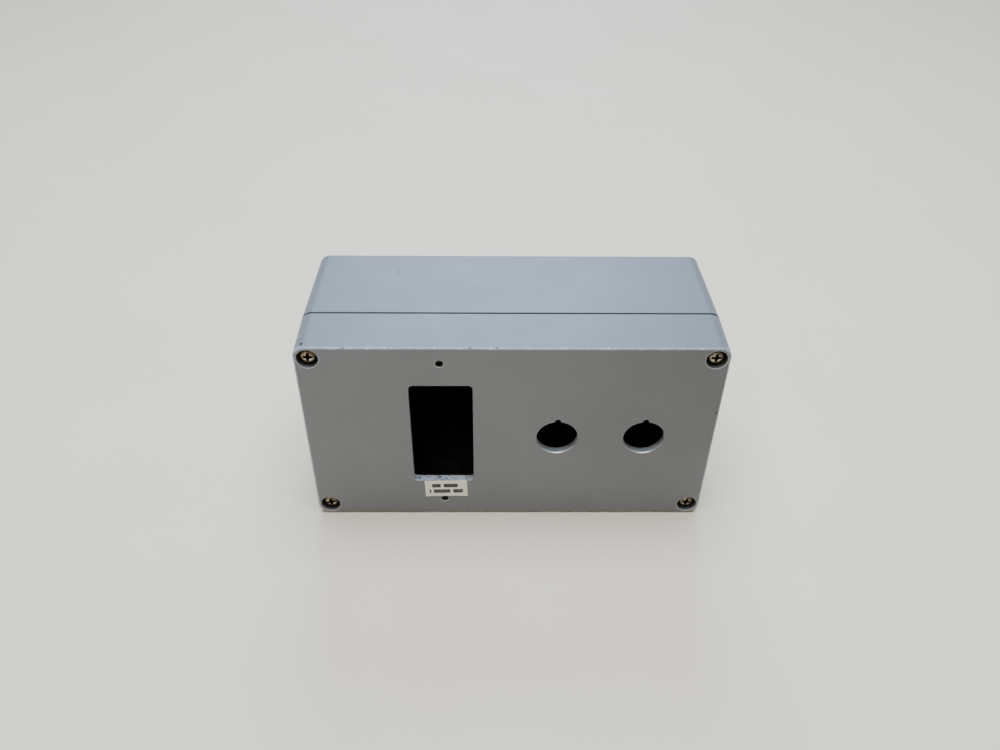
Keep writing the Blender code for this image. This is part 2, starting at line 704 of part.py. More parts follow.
def make_magnet(steel, nylon, copper):
    core = across(core_outline(CORE_BACK_Y, CORE_FACE_Y), CORE_HALF_WIDTH)
    make_object(core, "fixed_core", steel)
    armature = across(core_outline(ARMATURE_BACK_Y, ARMATURE_FACE_Y), CORE_HALF_WIDTH)
    make_object(armature, "armature", steel)
    bore = window_outline(0.4 * MM)
    barrel = window_outline(1.2 * MM)
    flange = window_outline(5.5 * MM)
    front, back = CORE_FACE_Y + MM, CORE_BACK_Y - YOKE - 0.4 * MM
    lips = (front, front + MM, back - MM, back)
    walls = [
        (flange, lips[0]),
        (flange, lips[1]),
        (barrel, lips[1]),
        (barrel, lips[2]),
        (flange, lips[2]),
        (flange, lips[3]),
        (bore, lips[3]),
        (bore, lips[0]),
    ]
    bobbin = bmesh.new()
    loft_into(bobbin, [[placed(x, z, y, "Y") for x, z in line] for line, y in walls], closed=True)
    make_object(bobbin, "coil_bobbin", nylon)
    outer, inner = window_outline(5.1 * MM), window_outline(1.5 * MM)
    winding = ring_prism(outer, inner, lips[1] + GAP, lips[2] - GAP)
    make_object(winding, "coil_winding", copper)


def window_outline(offset):
    """A rounded rectangle round the magnet's centre leg, that far outside it."""
    half_x = CORE_HALF_WIDTH + offset
    half_z = CENTRE_LEG + offset
    corners = rectangle(COIL_X - half_x, COIL_X + half_x, MID_Z - half_z, MID_Z + half_z)
    return rounded(corners, [0.3 * MM + offset / 2] * 4, 3)


def make_carrier(plastic):
    """The moving plastic crosspiece: the armature is behind it and the contact bridges pass through it."""
    foot_back = ARMATURE_BACK_Y - GAP
    foot_front = foot_back - 2.5 * MM
    head_y = BRIDGE_FRONT_Y - 3 * MM
    half = [
        (head_y, CARRIER_HALF_HEIGHT),
        (foot_front, CARRIER_HALF_HEIGHT),
        (foot_front, CARRIER_FOOT),
        (foot_back, CARRIER_FOOT),
    ]
    carrier = make_object(across(mirrored(half), CARRIER_HALF_WIDTH), "contact_carrier", plastic)
    nose_half_height = WINDOW_HALF_HEIGHT - 0.5 * MM
    nose = rectangle(head_y - 5.3 * MM, head_y + MM, -nose_half_height, nose_half_height)
    add(carrier, across(nose, WINDOW_HALF_WIDTH - 0.5 * MM), "indicator")
    slots = bmesh.new()
    for column in POLES.values():
        slot = rectangle(BRIDGE_FRONT_Y - GAP, BRIDGE_BACK_Y + GAP, -9 * MM, 9 * MM)
        across(slot, BRIDGE_HALF_WIDTH + GAP, column_x(column), slots)
    cut(carrier, slots, "bridge_slots")


def make_bridges(copper):
    near, far = TIP_Z
    half = [
        (BRIDGE_FRONT_Y, BRIDGE_HALF_LENGTH),
        (BRIDGE_BACK_Y, BRIDGE_HALF_LENGTH),
        (BRIDGE_BACK_Y, far),
        (BRIDGE_BACK_Y + TIP, far),
        (BRIDGE_BACK_Y + TIP, near),
        (BRIDGE_BACK_Y, near),
    ]
    for name, column in POLES.items():
        bridge = across(mirrored(half), BRIDGE_HALF_WIDTH, column_x(column))
        make_object(bridge, f"contact_bridge_{name}", copper)


def make_straps(brass):
    """A fixed contact and its terminal for each pole and end, and a plain plate for each coil end."""
    near, far = TIP_Z
    start, end = STRAP_Z
    contact = [
        (STRAP_BACK_Y, start),
        (STRAP_BACK_Y, end),
        (STRAP_FRONT_Y, end),
        (STRAP_FRONT_Y, far),
        (STRAP_FRONT_Y - TIP, far),
        (STRAP_FRONT_Y - TIP, near),
        (STRAP_FRONT_Y, near),
        (STRAP_FRONT_Y, start),
    ]
    plate = rectangle(STRAP_FRONT_Y, STRAP_BACK_Y, SHELF_Z[0], end)
    for name, x, up in terminal_places():
        is_coil = name.startswith("coil")
        label = f"coil_terminal_{name[5:]}" if is_coil else f"contact_strap_{name}"
        outline = [(y, up * w) for y, w in (plate if is_coil else contact)]
        strap = make_object(across(outline, STRAP_HALF_WIDTH, x), label, brass)
        hole = circle(x, MID_Z + up * TERMINAL_Z, TERMINAL_HOLE_RADIUS, SMALL_ROUND_STEPS)
        cut(strap, prism(hole, STRAP_FRONT_Y - MM, STRAP_BACK_Y + MM), "screw_hole")


def make_terminal_screws(steel):
    seat_y = STRAP_FRONT_Y - GAP
    for name, x, up in terminal_places():
        profile = [
            (TERMINAL_SHANK_RADIUS, SHELF_Y + 8 * MM),
            (TERMINAL_SHANK_RADIUS, seat_y),
            (TERMINAL_HEAD_RADIUS, seat_y),
            (TERMINAL_HEAD_RADIUS, seat_y - 2 * MM),
            (TERMINAL_HEAD_RADIUS * 0.9, seat_y - 2.3 * MM),
        ]
        z = MID_Z + up * TERMINAL_Z
        bm = turned(profile, x, z, steps=SMALL_ROUND_STEPS)
        screw = make_object(bm, f"terminal_screw_{name}", steel, (x, seat_y, z))
        slot = rectangle(x - 3 * MM, x + 3 * MM, z - 0.4 * MM, z + 0.4 * MM)
        cut(screw, prism(slot, seat_y - 3 * MM, seat_y - 1.2 * MM), "slot")


def make_return_springs(steel):
    """Two coil springs between the housing and the carrier's foot."""
    start_y = HOUSING_FRONT_Y - SPRING_WIRE - GAP
    end_y = ARMATURE_BACK_Y + SPRING_WIRE
    steps = SPRING_TURNS * SMALL_ROUND_STEPS
    for name, up in (("upper", 1), ("lower", -1)):
        curve = bpy.data.curves.new(f"return_spring_{name}", "CURVE")
        curve.dimensions = "3D"
        curve.bevel_depth = SPRING_WIRE
        curve.bevel_resolution = 1
        curve.use_fill_caps = True
        spline = curve.splines.new("POLY")
        spline.points.add(steps)
        for i, point in enumerate(spline.points):
            turn = 2 * math.pi * SPRING_TURNS * i / steps
            x = SPRING_RADIUS * math.cos(turn)
            z = SPRING_RADIUS * math.sin(turn)
            point.co = (x, (end_y - start_y) * i / steps, z, 1)
        curve.materials.append(steel)
        spring = bpy.data.objects.new(f"return_spring_{name}", curve)
        spring.location = (COIL_X, start_y, MID_Z + up * SPRING_Z)
        bpy.context.scene.collection.objects.link(spring)


def make_rail_clip(plastic):
    """The sliding foot that catches the rail's lower flange, with a pull hole below the housing."""
    top = MID_Z - RAIL_HEIGHT / 2 + CLIP_GRIP
    bottom = MID_Z - BODY_HALF_HEIGHT - CLIP_TAB
    front = RAIL_FRONT_Y + RAIL_SHEET + 2 * GAP
    back = front + CLIP_THICKNESS
    corners = rectangle(COIL_X - CLIP_HALF_WIDTH, COIL_X + CLIP_HALF_WIDTH, bottom, top)
    outline = rounded(corners, [1.5 * MM, 1.5 * MM, 0.5 * MM, 0.5 * MM], 3)
    clip = make_object(prism(outline, front, back), "rail_clip", plastic, (COIL_X, front, top))
    half = CLIP_HOLE_WIDTH / 2
    hole = rectangle(COIL_X - half, COIL_X + half, bottom + 1.5 * MM, bottom + 4 * MM)
    cut(clip, prism(hole, front - MM, back + MM), "pull_hole")


def main():
    clear_scene()
    paint = make_material("painted_aluminium", (0.25, 0.27, 0.285), 0.45, 0.0)
    rubber = make_material("seal_rubber", (0.03, 0.03, 0.03), 0.85, 0.0)
    paper = make_material("label_paper", (0.72, 0.68, 0.56), 0.8, 0.0)
    zinc = make_material("yellow_zinc_steel", (0.5, 0.44, 0.3), 0.35, 1.0)
    steel = make_material("bright_steel", (0.6, 0.6, 0.58), 0.35, 1.0)
    nylon = make_material("nylon", (0.75, 0.73, 0.66), 0.5, 0.0)
    dark_plastic = make_material("dark_plastic", (0.03, 0.03, 0.035), 0.5, 0.0)
    pale_plastic = make_material("pale_plastic", (0.55, 0.55, 0.52), 0.45, 0.0)
    brass = make_material("brass", (0.66, 0.5, 0.22), 0.3, 1.0)
    copper = make_material("copper", (0.6, 0.26, 0.13), 0.35, 1.0)
    make_base(paint)
    make_lid(paint)
    make_seal(rubber)
    make_lid_screws(zinc, nylon)
    make_label(paper)
    make_rail(steel)
    make_rail_screws(zinc)
    make_earth_screw(brass, steel)
    make_contactor_housing(dark_plastic)
    make_contactor_cover(pale_plastic)
    make_magnet(steel, nylon, copper)
    make_carrier(dark_plastic)
    make_bridges(copper)
    make_straps(brass)
    make_terminal_screws(steel)
    make_return_springs(steel)
    make_rail_clip(pale_plastic)


main()
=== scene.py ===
"""Magnetic motor starter in a die-cast box: the looks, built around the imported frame.

Row frame, in metres: X is the box's length, -Y is the lid's front, +Z is up, and z 0 is the floor.
"""

from math import asin, copysign, cos, pi, radians, sin, tan

import bmesh
import bpy
from mathutils import Matrix, Vector, noise


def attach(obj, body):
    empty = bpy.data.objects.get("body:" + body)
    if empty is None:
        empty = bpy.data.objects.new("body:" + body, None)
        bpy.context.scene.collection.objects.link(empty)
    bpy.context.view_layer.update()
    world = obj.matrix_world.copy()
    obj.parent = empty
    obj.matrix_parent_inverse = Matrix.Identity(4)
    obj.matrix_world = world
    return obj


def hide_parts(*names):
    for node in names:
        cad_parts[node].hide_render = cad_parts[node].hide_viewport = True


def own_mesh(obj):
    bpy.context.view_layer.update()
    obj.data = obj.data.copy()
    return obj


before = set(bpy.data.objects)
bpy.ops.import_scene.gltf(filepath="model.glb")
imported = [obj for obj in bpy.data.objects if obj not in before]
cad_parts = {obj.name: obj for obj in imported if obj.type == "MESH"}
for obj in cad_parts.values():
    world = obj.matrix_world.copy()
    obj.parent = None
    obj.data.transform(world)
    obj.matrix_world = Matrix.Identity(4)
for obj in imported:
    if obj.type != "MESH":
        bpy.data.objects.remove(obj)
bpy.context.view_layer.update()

MM = 0.001


def mm(*values):
    return tuple(value * MM for value in values)


# Box, as in the CAD; unless a comment says otherwise, places are in the row frame
LENGTH, HEIGHT = mm(220, 120)
MID_Z = HEIGHT / 2
FRONT_Y, BACK_Y = mm(-45, 45)
LID_RIM_Y, BASE_RIM_Y = mm(-15.3, -14.7)
LID_DRAFT, BASE_DRAFT = radians(0.6), radians(1.0)
CORNER_RADIUS = 6.2 * MM
FRONT_EDGE_RADIUS, BACK_EDGE_RADIUS, RIM_EDGE_RADIUS = mm(1.4, 1.5, 0.45)
LID_INNER_Y, BACK_INNER_Y = mm(-41, 41.1)
CAVITY_X, CAVITY_Z = mm(106, 56)
PILLAR_X, PILLAR_Z = mm(95, 33.9)
CAVITY_RADIUS, PILLAR_RADIUS = mm(2, 4)
SEAL_LINE, GROOVE_WIDTH, GROOVE_DEPTH = mm(2, 2.2, 3.2)
TONGUE_WIDTH, TONGUE_HEIGHT = mm(1.6, 1.6)

# Openings in the lid
CUTOUT = mm(-53.5, -20.2, 26.8, 95.5)
CUTOUT_RADIUS, CUTOUT_TOP_RADIUS = mm(1.8, 2.6)
BUTTON_X, BUTTON_Z, BUTTON_RADIUS = mm(24.9, 71.7), 59.5 * MM, 11.15 * MM
NOTCH_WIDTH, NOTCH_REACH = mm(3.3, 24.1)
PLATE_HOLES = (mm(-36.8, 12.1), mm(-36.8, 109.7))
PLATE_HOLE_RADIUS = 2.2 * MM

# Screws
SCREW_X, SCREW_Z = mm(102.5, 52.6)
WALL_HOLE_X, WALL_HOLE_Z, WALL_HOLE_RADIUS, POCKET_RADIUS = mm(103, 42, 2.75, 4.5)
SCREW_RADIUS, SCREW_PITCH = mm(2.5, 0.8)
SCREW_HEAD_RADIUS, SCREW_HEAD_HEIGHT = mm(4.6, 3.1)
SCREW_HOLE_RADIUS, THREAD_HOLE_RADIUS = mm(2.9, 2.8)
RING_RADIUS, RING_HOLE_RADIUS, RING_POCKET_RADIUS = mm(3.7, 2.8, 4)
COUNTERBORE_RADIUS, HEAD_SEAT_Y, SCREW_SEAT_Y, SCREW_TIP_Y = mm(5.5, -40, -40.3, -10)
RING_FRONT_Y, RING_BACK_Y, RING_POCKET_Y = mm(-22.3, -21.3, -29.3)
SCREW_TURNS = {"top_left": -5, "top_right": -2, "bottom_left": 8, "bottom_right": -10}

# Marks in the paint, in millimetres: centre, half-sizes and how dark
MARKS = (
    ((-104.9, -41.6, 119.5), (1.1, 1.3, 0.9), 1.0),
    ((-84.3, -44.5, 119.3), (0.7, 0.8, 0.5), 0.6),
    ((-62.2, -44.5, 119.3), (0.5, 0.6, 0.4), 0.5),
    ((-21.2, -44.3, 119.4), (0.6, 0.9, 0.5), 0.7),
    ((-7.9, -44.2, 119.4), (0.9, 0.8, 0.5), 0.8),
    ((57.0, -44.4, 119.3), (0.4, 0.5, 0.4), 0.6),
    ((88.0, -40.5, 119.6), (0.5, 0.6, 0.5), 0.7),
    ((107.8, -44.8, 77.4), (0.8, 0.7, 1.1), 0.8),
    ((-73.1, 30.8, 119.3), (3.2, 0.5, 0.8), 0.35),
    ((-62.6, 25.6, 119.3), (1.6, 3.5, 0.8), 0.3),
    ((-64.0, 37.5, 119.3), (0.7, 0.9, 0.8), 0.5),
    ((-82.0, 37.0, 119.3), (0.5, 1.6, 0.8), 0.35),
    ((73.4, -45.0, 95.1), (6.5, 0.6, 0.5), 0.10),
)

# Bosses on the base's back wall for the rail and earth screws: x, z and height
RAIL_SCREW_X, EARTH_X, EARTH_Z = mm(85, 50, 25)
BOSSES = (
    (-RAIL_SCREW_X, MID_Z, 1.8 * MM), (RAIL_SCREW_X, MID_Z, 1.8 * MM), (EARTH_X, EARTH_Z, 4 * MM),
)
BOSS_RADIUS, BOSS_HOLE_RADIUS, BOSS_HOLE_END_Y = mm(6, 2.5, 43.8)
SMALL_SCREW_RADIUS, SMALL_SCREW_PITCH, SMALL_SCREW_TIP_Y = mm(2.2, 0.7, 43)

# Label
LABEL_X, LABEL_Z = mm(-35.8, 20.4)
LABEL_TILT = radians(1.3)
LABEL_HALF_WIDTH, LABEL_HALF_HEIGHT, LABEL_THICKNESS, LABEL_GAP = mm(11.9, 6.1, 0.15, 0.03)

# Contactor: heights are from the box's middle
COIL_X = -85 * MM
BODY_HALF_WIDTH, BODY_HALF_HEIGHT = mm(18, 31.5)
COVER_BACK_Y, COVER_FRONT_Y, COVER_WALL = mm(-0.3, -30, 1.7)
DECK_BACK_Y, DECK_FRONT_Y, SHOULDER_Z = mm(-15, -19, 21)
TERMINAL_Z, TERMINAL_PITCH, WELL_RADIUS = mm(25.6, 8.6, 3.2)
TERMINAL_SEAT_Y = -15 * MM
COLUMNS = [
    (name, COIL_X + at * TERMINAL_PITCH)
    for name, at in (("left", -1.5), ("middle", -0.5), ("right", 0.5), ("coil", 1.5))
]
ROWS = (("upper", 1), ("lower", -1))
STRAP_BACK_Y, STRAP_FRONT_Y, BRIDGE_BACK_Y, BRIDGE_FRONT_Y = mm(-13.5, -14.7, -19.9, -21.1)
CONTACT_Z, CONTACT_TRAVEL = mm(10.5, 3.4)
SPRING_START_Y, SPRING_END_Y, SPRING_Z = mm(-0.65, -9.65, 18.8)
SPRING_RADIUS, SPRING_WIRE_RADIUS = mm(2.1, 0.34)


def shell_points(inset):
    """The box's rounded rectangle drawn in by the inset, with points along the straight sides as well."""
    half_x, half_z, radius = LENGTH / 2 - inset, HEIGHT / 2 - inset, CORNER_RADIUS - inset / 2
    corner_steps, spacing = 10, 1.3 * MM
    points = []
    sides = (round(HEIGHT / spacing), round(LENGTH / spacing)) * 2
    for quarter, count in enumerate(sides):
        turn = quarter * pi / 2
        sx, sz = ((1, -1), (1, 1), (-1, 1), (-1, -1))[quarter]
        centre = Vector((sx * (half_x - radius), sz * (half_z - radius)))
        arc = []
        for step in range(corner_steps + 1):
            angle = turn - pi / 2 + pi / 2 * step / corner_steps
            arc.append(centre + radius * Vector((cos(angle), sin(angle))))
        points += arc
        nx, nz = ((1, 1), (-1, 1), (-1, -1), (1, -1))[quarter]
        after_centre = Vector((nx * (half_x - radius), nz * (half_z - radius)))
        after = after_centre + radius * Vector((cos(turn), sin(turn)))
        points += [arc[-1].lerp(after, step / count) for step in range(1, count)]
    return [(p.x, p.y + MID_Z) for p in points]


def rounded(corners, radii, steps=8):
    """Rounds each corner of an outline with an arc of its own radius."""
    points = []
    for i, (corner, radius) in enumerate(zip(corners, radii)):
        here = Vector(corner)
        before = (Vector(corners[i - 1]) - here).normalized()
        after = (Vector(corners[(i + 1) % len(corners)]) - here).normalized()
        half = before.angle(after) / 2
        centre = here + (before + after).normalized() * radius / sin(half)
        start = here + before * radius / tan(half) - centre
        end = here + after * radius / tan(half) - centre
        sweep = start.angle_signed(end)
        for step in range(steps + 1):
            spun = start.copy()
            spun.rotate(Matrix.Rotation(-sweep * step / steps, 2))
            points.append(tuple(centre + spun))
    return points


def rectangle(low_u, high_u, low_v, high_v):
    return [(low_u, low_v), (high_u, low_v), (high_u, high_v), (low_u, high_v)]


def circle(x, z, radius, steps=48):
    turns = [2 * pi * i / steps for i in range(steps)]
    return [(x + radius * cos(turn), z + radius * sin(turn)) for turn in turns]


def cavity_points(offset, steps=5):
    """The cavity's outline with its corners stepped round the screw pillars, moved outwards by the offset."""
    far_x, far_z = CAVITY_X + offset, CAVITY_Z + offset
    near_x, near_z = PILLAR_X + offset, PILLAR_Z + offset
    quarter = [(far_x, near_z), (near_x, near_z), (near_x, far_z)]
    corners = quarter + [(-x, z) for x, z in quarter[::-1]]
    corners += [(-x, -z) for x, z in corners]
    radii = [CAVITY_RADIUS + offset, PILLAR_RADIUS - offset, CAVITY_RADIUS + offset] * 4
    return [(x, z + MID_Z) for x, z in rounded(corners, radii, steps)]


def cutout_points(grow):
    low_x, high_x, low_z, high_z = CUTOUT
    corners = rectangle(low_x - grow, high_x + grow, low_z - grow, high_z + grow)
    low_radius, top_radius = CUTOUT_RADIUS + grow, CUTOUT_TOP_RADIUS + grow
    return rounded(corners, (low_radius, low_radius, top_radius, top_radius))


def button_points(x, grow):
    """A push-button hole with its round-topped locating notch, growing only round its lowest part."""
    half, steps = NOTCH_WIDTH / 2, 72
    start = pi / 2 + asin(half / BUTTON_RADIUS)
    sweep = 2 * pi - 2 * asin(half / BUTTON_RADIUS)
    points = []
    for i in range(steps + 1):
        turn = start + sweep * i / steps
        radius = BUTTON_RADIUS + grow * max(-sin(turn), 0) ** 4
        points.append((x + radius * cos(turn), BUTTON_Z + radius * sin(turn)))
    top = BUTTON_Z + NOTCH_REACH - BUTTON_RADIUS
    corner = 1.5 * MM
    for angle in [pi / 2 * i / 4 for i in range(5)]:
        out, up = cos(angle), sin(angle)
        points.append((x + half - corner + corner * out, top - corner + corner * up))
    for angle in [pi / 2 * i / 4 for i in range(1, 5)]:
        out, up = sin(angle), cos(angle)
        points.append((x - half + corner - corner * out, top - corner + corner * up))
    return points


def loft(loops, bm=None, closed=False, first_cap=0):
    """Skins loops of equal length. Closed joins the last to the first; otherwise both ends are capped."""
    bm = bm or bmesh.new()
    rows = [[bm.verts.new(point) for point in loop] for loop in loops]
    pairs = list(zip(rows, rows[1:]))
    if closed:
        pairs.append((rows[-1], rows[0]))
    for first, second in pairs:
        for i, corner in enumerate(first):
            after = (i + 1) % len(first)
            bm.faces.new((corner, first[after], second[after], second[i]))
    if not closed:
        bm.faces.new(rows[0]).material_index = first_cap
        bm.faces.new(rows[-1])
    return bm


def along_y(outline, y):
    return [Vector((u, y, v)) for u, v in outline]


def prism(outline, low, high, bm=None):
    return loft([along_y(outline, low), along_y(outline, high)], bm)


def flared(make_outline, front, back, flare, bm=None, reach=None):
    """A hole's cutter whose mouth opens out with a small round; its straight wall has the second material."""
    reach, steps = reach or flare, 3
    loops = [along_y(make_outline(flare), front - MM), along_y(make_outline(flare), front)]
    for step in range(1, steps + 1):
        turn = pi / 2 * step / steps
        grow = flare * (1 - sin(turn))
        loops.append(along_y(make_outline(grow), front + reach * (1 - cos(turn))))
    loops.append(along_y(make_outline(0), back))
    bm = loft(loops, bm)
    bm.faces.ensure_lookup_table()
    for face in bm.faces[-2 - len(loops[0]):]:
        face.material_index = 1
    return bm


def turned(profile, x, z, bm=None, steps=48):
    """A solid of revolution about the line along Y through (x, z), from (radius, y) points."""
    return loft([along_y(circle(x, z, r, steps), y) for r, y in profile], bm)


def seal_band(width, low, high):
    """A closed band of that width along the seal's line round the cavity."""
    half = width / 2
    walls = ((half, low), (half, high), (-half, high), (-half, low))
    return loft([along_y(cavity_points(SEAL_LINE + out), y) for out, y in walls], closed=True)


def corners_at(half_x, half_z):
    for height, up in (("top", 1), ("bottom", -1)):
        for side, right in (("left", -1), ("right", 1)):
            yield f"{height}_{side}", right * half_x, MID_Z + up * half_z


def smooth(mesh, degrees=35):
    mesh.shade_smooth()
    mesh.set_sharp_from_angle(angle=radians(degrees))


def add(name, data):
    thing = bpy.data.objects.new(name, data)
    bpy.context.scene.collection.objects.link(thing)
    return thing


def make_object(bm, name, *materials, degrees=35):
    bmesh.ops.recalc_face_normals(bm, faces=bm.faces)
    mesh = bpy.data.meshes.new(name)
    bm.to_mesh(mesh)
    bm.free()
    smooth(mesh, degrees)
    for material in materials:
        mesh.materials.append(material)
    return add(name, mesh)


def settle(thing, degrees=35):
    """Turns the object's modifiers into its mesh."""
    bpy.context.view_layer.update()
    graph = bpy.context.evaluated_depsgraph_get()
    mesh = bpy.data.meshes.new_from_object(
        thing.evaluated_get(graph), preserve_all_data_layers=True, depsgraph=graph
    )
    thing.modifiers.clear()
    thing.data = mesh
    smooth(mesh, degrees)


CUT, JOIN = "DIFFERENCE", "UNION"


def carve(thing, *steps, degrees=35):
    """Cuts or joins shapes, each given as (operation, mesh, its materials); its faces keep them."""
    helpers = []
    for operation, bm, *materials in steps:
        helper = make_object(bm, f"{thing.name}_tool", *materials)
        modifier = thing.modifiers.new("shape", "BOOLEAN")
        modifier.operation = operation
        modifier.object = helper
        modifier.material_mode = "TRANSFER"
        helpers.append(helper)
    settle(thing, degrees)
    for helper in helpers:
        bpy.data.objects.remove(helper)


def weighted_normals(thing):
    modifier = thing.modifiers.new("normals", "WEIGHTED_NORMAL")
    modifier.keep_sharp = True
    modifier.weight = 100


def stand_for(thing, node, body="enclosure"):
    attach(thing, body)
    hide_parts(node)


# ---- materials


class Nodes:
    """Short calls for building one node material."""

    def __init__(self, name):
        self.material = bpy.data.materials.new(name)
        self.material.use_nodes = True
        self.tree = self.material.node_tree
        self.shader = self.tree.nodes["Principled BSDF"]
        self.coords = self.tree.nodes.new("ShaderNodeTexCoord")
        self.place = self.coords.outputs["Object"]

    def set(self, **values):
        for key, value in values.items():
            self.shader.inputs[key.replace("_", " ")].default_value = value

    def link(self, source, target):
        self.tree.links.new(source, target)

    def new(self, kind, output, inputs, **properties):
        """Adds a node, sets its properties, and sets or links its inputs, and gives back one output."""
        node = self.tree.nodes.new(f"ShaderNode{kind}")
        for key, value in properties.items():
            setattr(node, key, value)
        for key, value in inputs.items():
            if hasattr(value, "links"):
                self.link(value, node.inputs[key])
            else:
                node.inputs[key].default_value = value
        return node.outputs[output]

    def scaled(self, x, y, z):
        """Object coordinates multiplied along each axis, for grain with a direction."""
        return self.new("Mapping", "Vector", {"Scale": (x, y, z), "Vector": self.place})

    def noise(self, scale, detail=3.0, roughness=0.55, vector=None):
        inputs = {"Scale": scale, "Detail": detail, "Roughness": roughness, "Vector": vector or self.place}
        return self.new("TexNoise", "Fac", inputs)

    def pattern(self, scale, detail=3.0, roughness=0.6):
        """Noise of one scale, or of its own scale along each axis."""
        if isinstance(scale, tuple):
            return self.noise(1.0, detail, roughness, self.scaled(*scale))
        return self.noise(scale, detail, roughness)

    def cells(self, scale):
        return self.new("TexVoronoi", "Distance", {"Scale": scale, "Vector": self.place})

    def ramp(self, value, low, high, start=0.0, end=1.0):
        inputs = {"Value": value, "From Min": low, "From Max": high, "To Min": start, "To Max": end}
        return self.new("MapRange", "Result", inputs)

    def spread(self, value, start, end):
        """Carries the middle of a noise's range over to a range of its own."""
        return self.ramp(value, 0.3, 0.7, start, end)

    def maths(self, operation, *values):
        return self.new("Math", 0, dict(enumerate(values)), operation=operation)

    def times(self, first, second):
        return self.maths("MULTIPLY", first, second)

    def mix(self, amount, first, second):
        """Mixes two colours, each a socket or three numbers."""
        first, second = [part if hasattr(part, "links") else (*part, 1) for part in (first, second)]
        return self.new("Mix", 2, {0: amount, 6: first, 7: second}, data_type="RGBA")

    def blend(self, value, first, second):
        """Two colours, mixed by the middle of a noise's range."""
        return self.mix(self.ramp(value, 0.3, 0.7), first, second)

    def axis(self, letter, vector=None):
        return self.new("SeparateXYZ", letter, {0: vector or self.place})

    def along(self, letter, low, high, start=0.0, end=1.0):
        """Changes from one place on an axis to another, both in millimetres."""
        return self.ramp(self.axis(letter), *mm(low, high), start, end)

    def length(self, vector):
        return self.new("VectorMath", "Value", {0: vector}, operation="LENGTH")

    def edges(self):
        """1 where the surface turns from one flat face to the next, and 0 on the faces."""
        normal = self.coords.outputs["Normal"]
        square = self.new("VectorMath", 0, {0: normal, 1: normal}, operation="MULTIPLY")
        fourth = self.new("VectorMath", "Value", {0: square, 1: square}, operation="DOT_PRODUCT")
        return self.ramp(fourth, 0.97, 0.6)

    def bump(self, height, strength, distance, under=None):
        inputs = {"Strength": strength, "Distance": distance, "Height": height}
        if under:
            inputs["Normal"] = under
        return self.new("Bump", "Normal", inputs)

    def spot(self, place, size):
        """1 inside a ragged patch of that place and half-sizes in millimetres, fading to 0 outside."""
        scale = tuple(1 / part for part in mm(*size))
        shift = tuple(-p * q for p, q in zip(mm(*place), scale))
        patch = self.new("Mapping", "Vector", {"Location": shift, "Scale": scale, "Vector": self.place})
        ragged = self.maths("MULTIPLY_ADD", self.noise(900, 3, 0.7), 1.6, -0.8)
        return self.ramp(self.maths("ADD", self.length(patch), ragged), 1.0, 0.55)

    def coat(self, amount, tint):
        """Covers the colour so far with another one."""
        self.colour = self.mix(amount, self.colour, tint)

    def finish(self, roughness, normal=None):
        for name, socket in (("Base Color", self.colour), ("Roughness", roughness), ("Normal", normal)):
            if socket:
                self.link(socket, self.shader.inputs[name])
        return self.material


def enamel():
    """Satin grey enamel over die-cast aluminium with faint marks. Its edges are painted lighter and bluer,
    partly worn by rubbing and partly a painted highlight, most along the lid's front; the lid's front face
    has painted shade towards its right.
    """
    n = Nodes("grey_enamel")
    broad = n.noise(22, 4)
    n.colour = n.mix(n.ramp(broad, 0.35, 0.65), (0.175, 0.179, 0.198), (0.186, 0.190, 0.211))
    fine = n.noise(1500, 2)
    n.coat(n.ramp(fine, 0.3, 0.75, 0.0, 0.12), (0.285, 0.30, 0.32))
    scuff = n.pattern((60, 60, 900), 5, 0.65)
    scuffs = n.times(n.ramp(scuff, 0.66, 0.74), n.ramp(n.noise(30, 2), 0.5, 0.62))
    n.coat(n.times(scuffs, 0.3), (0.09, 0.09, 0.09))
    specks = n.ramp(n.cells(260), 0.05, 0.02)
    rare = n.ramp(n.noise(45, 2), 0.60, 0.66)
    n.coat(n.times(specks, rare), (0.07, 0.07, 0.07))
    front = n.along("Y", -42.8, -43.6)
    # Painted highlight with worn paint: the edges are painted lighter and bluer, most along the lid's front
    # edges.
    wear_and_highlight = n.times(n.edges(), n.ramp(n.noise(190, 4, 0.7), 0.3, 0.65, 0.45, 1.0))
    rub = n.times(wear_and_highlight, n.maths("MULTIPLY_ADD", front, 0.75, 0.12))
    n.coat(rub, (0.50, 0.55, 0.63))
    # Light specks along the lid's top front edge: paint chipped down to the metal, and also a painted
    # highlight along that edge.
    upper = n.times(front, n.along("Z", 110, 118, 0.12, 0.8))
    chips = n.ramp(n.noise(330, 3, 0.6), 0.58, 0.64)
    bare_and_highlight = n.times(chips, n.times(n.edges(), upper))
    n.coat(bare_and_highlight, (0.74, 0.74, 0.77))
    nick = n.times(n.edges(), n.ramp(n.noise(420, 3, 0.6), 0.665, 0.70))
    n.coat(nick, (0.06, 0.055, 0.05))
    for place, size, depth in MARKS:
        spot = n.spot(place, size)
        n.coat(n.times(spot, depth), (0.045, 0.042, 0.04))
    # Painted shade: the lid's front face is darkened towards its right and towards its top.
    lid_face = n.along("Y", -44.0, -44.9)
    right_side_shade = n.times(lid_face, n.along("X", 10, 95, 0.0, 0.25))
    right_side_shade = n.times(right_side_shade, n.along("Z", 5, 60, 0.3, 1.0))
    n.coat(right_side_shade, (0.02, 0.018, 0.012))
    rough = n.spread(n.noise(60, 3), 0.41, 0.46)
    peel = n.bump(n.noise(900, 3, 0.6), 0.18, 0.00010)
    return n.finish(rough, n.bump(n.noise(60, 2), 0.04, 0.0005, peel))


def surface(name, pattern, dark, light, rough, bump, spots=None, grain=None, **shader):
    """A material whose colour, roughness and bump follow one pattern of noise.

    Spots are a noise, its range, how strong they are and their colour; a grain has the bump follow
    a noise of its own.
    """
    n = Nodes(name)
    n.set(**shader)
    marks = n.pattern(*pattern)
    n.colour = n.blend(marks, dark, light)
    if spots:
        patches, low, high, amount, tint = spots
        n.coat(n.ramp(n.noise(*patches), low, high, 0.0, amount), tint)
    height = n.noise(*grain) if grain else marks
    return n.finish(n.spread(marks, *rough), n.bump(height, *bump))


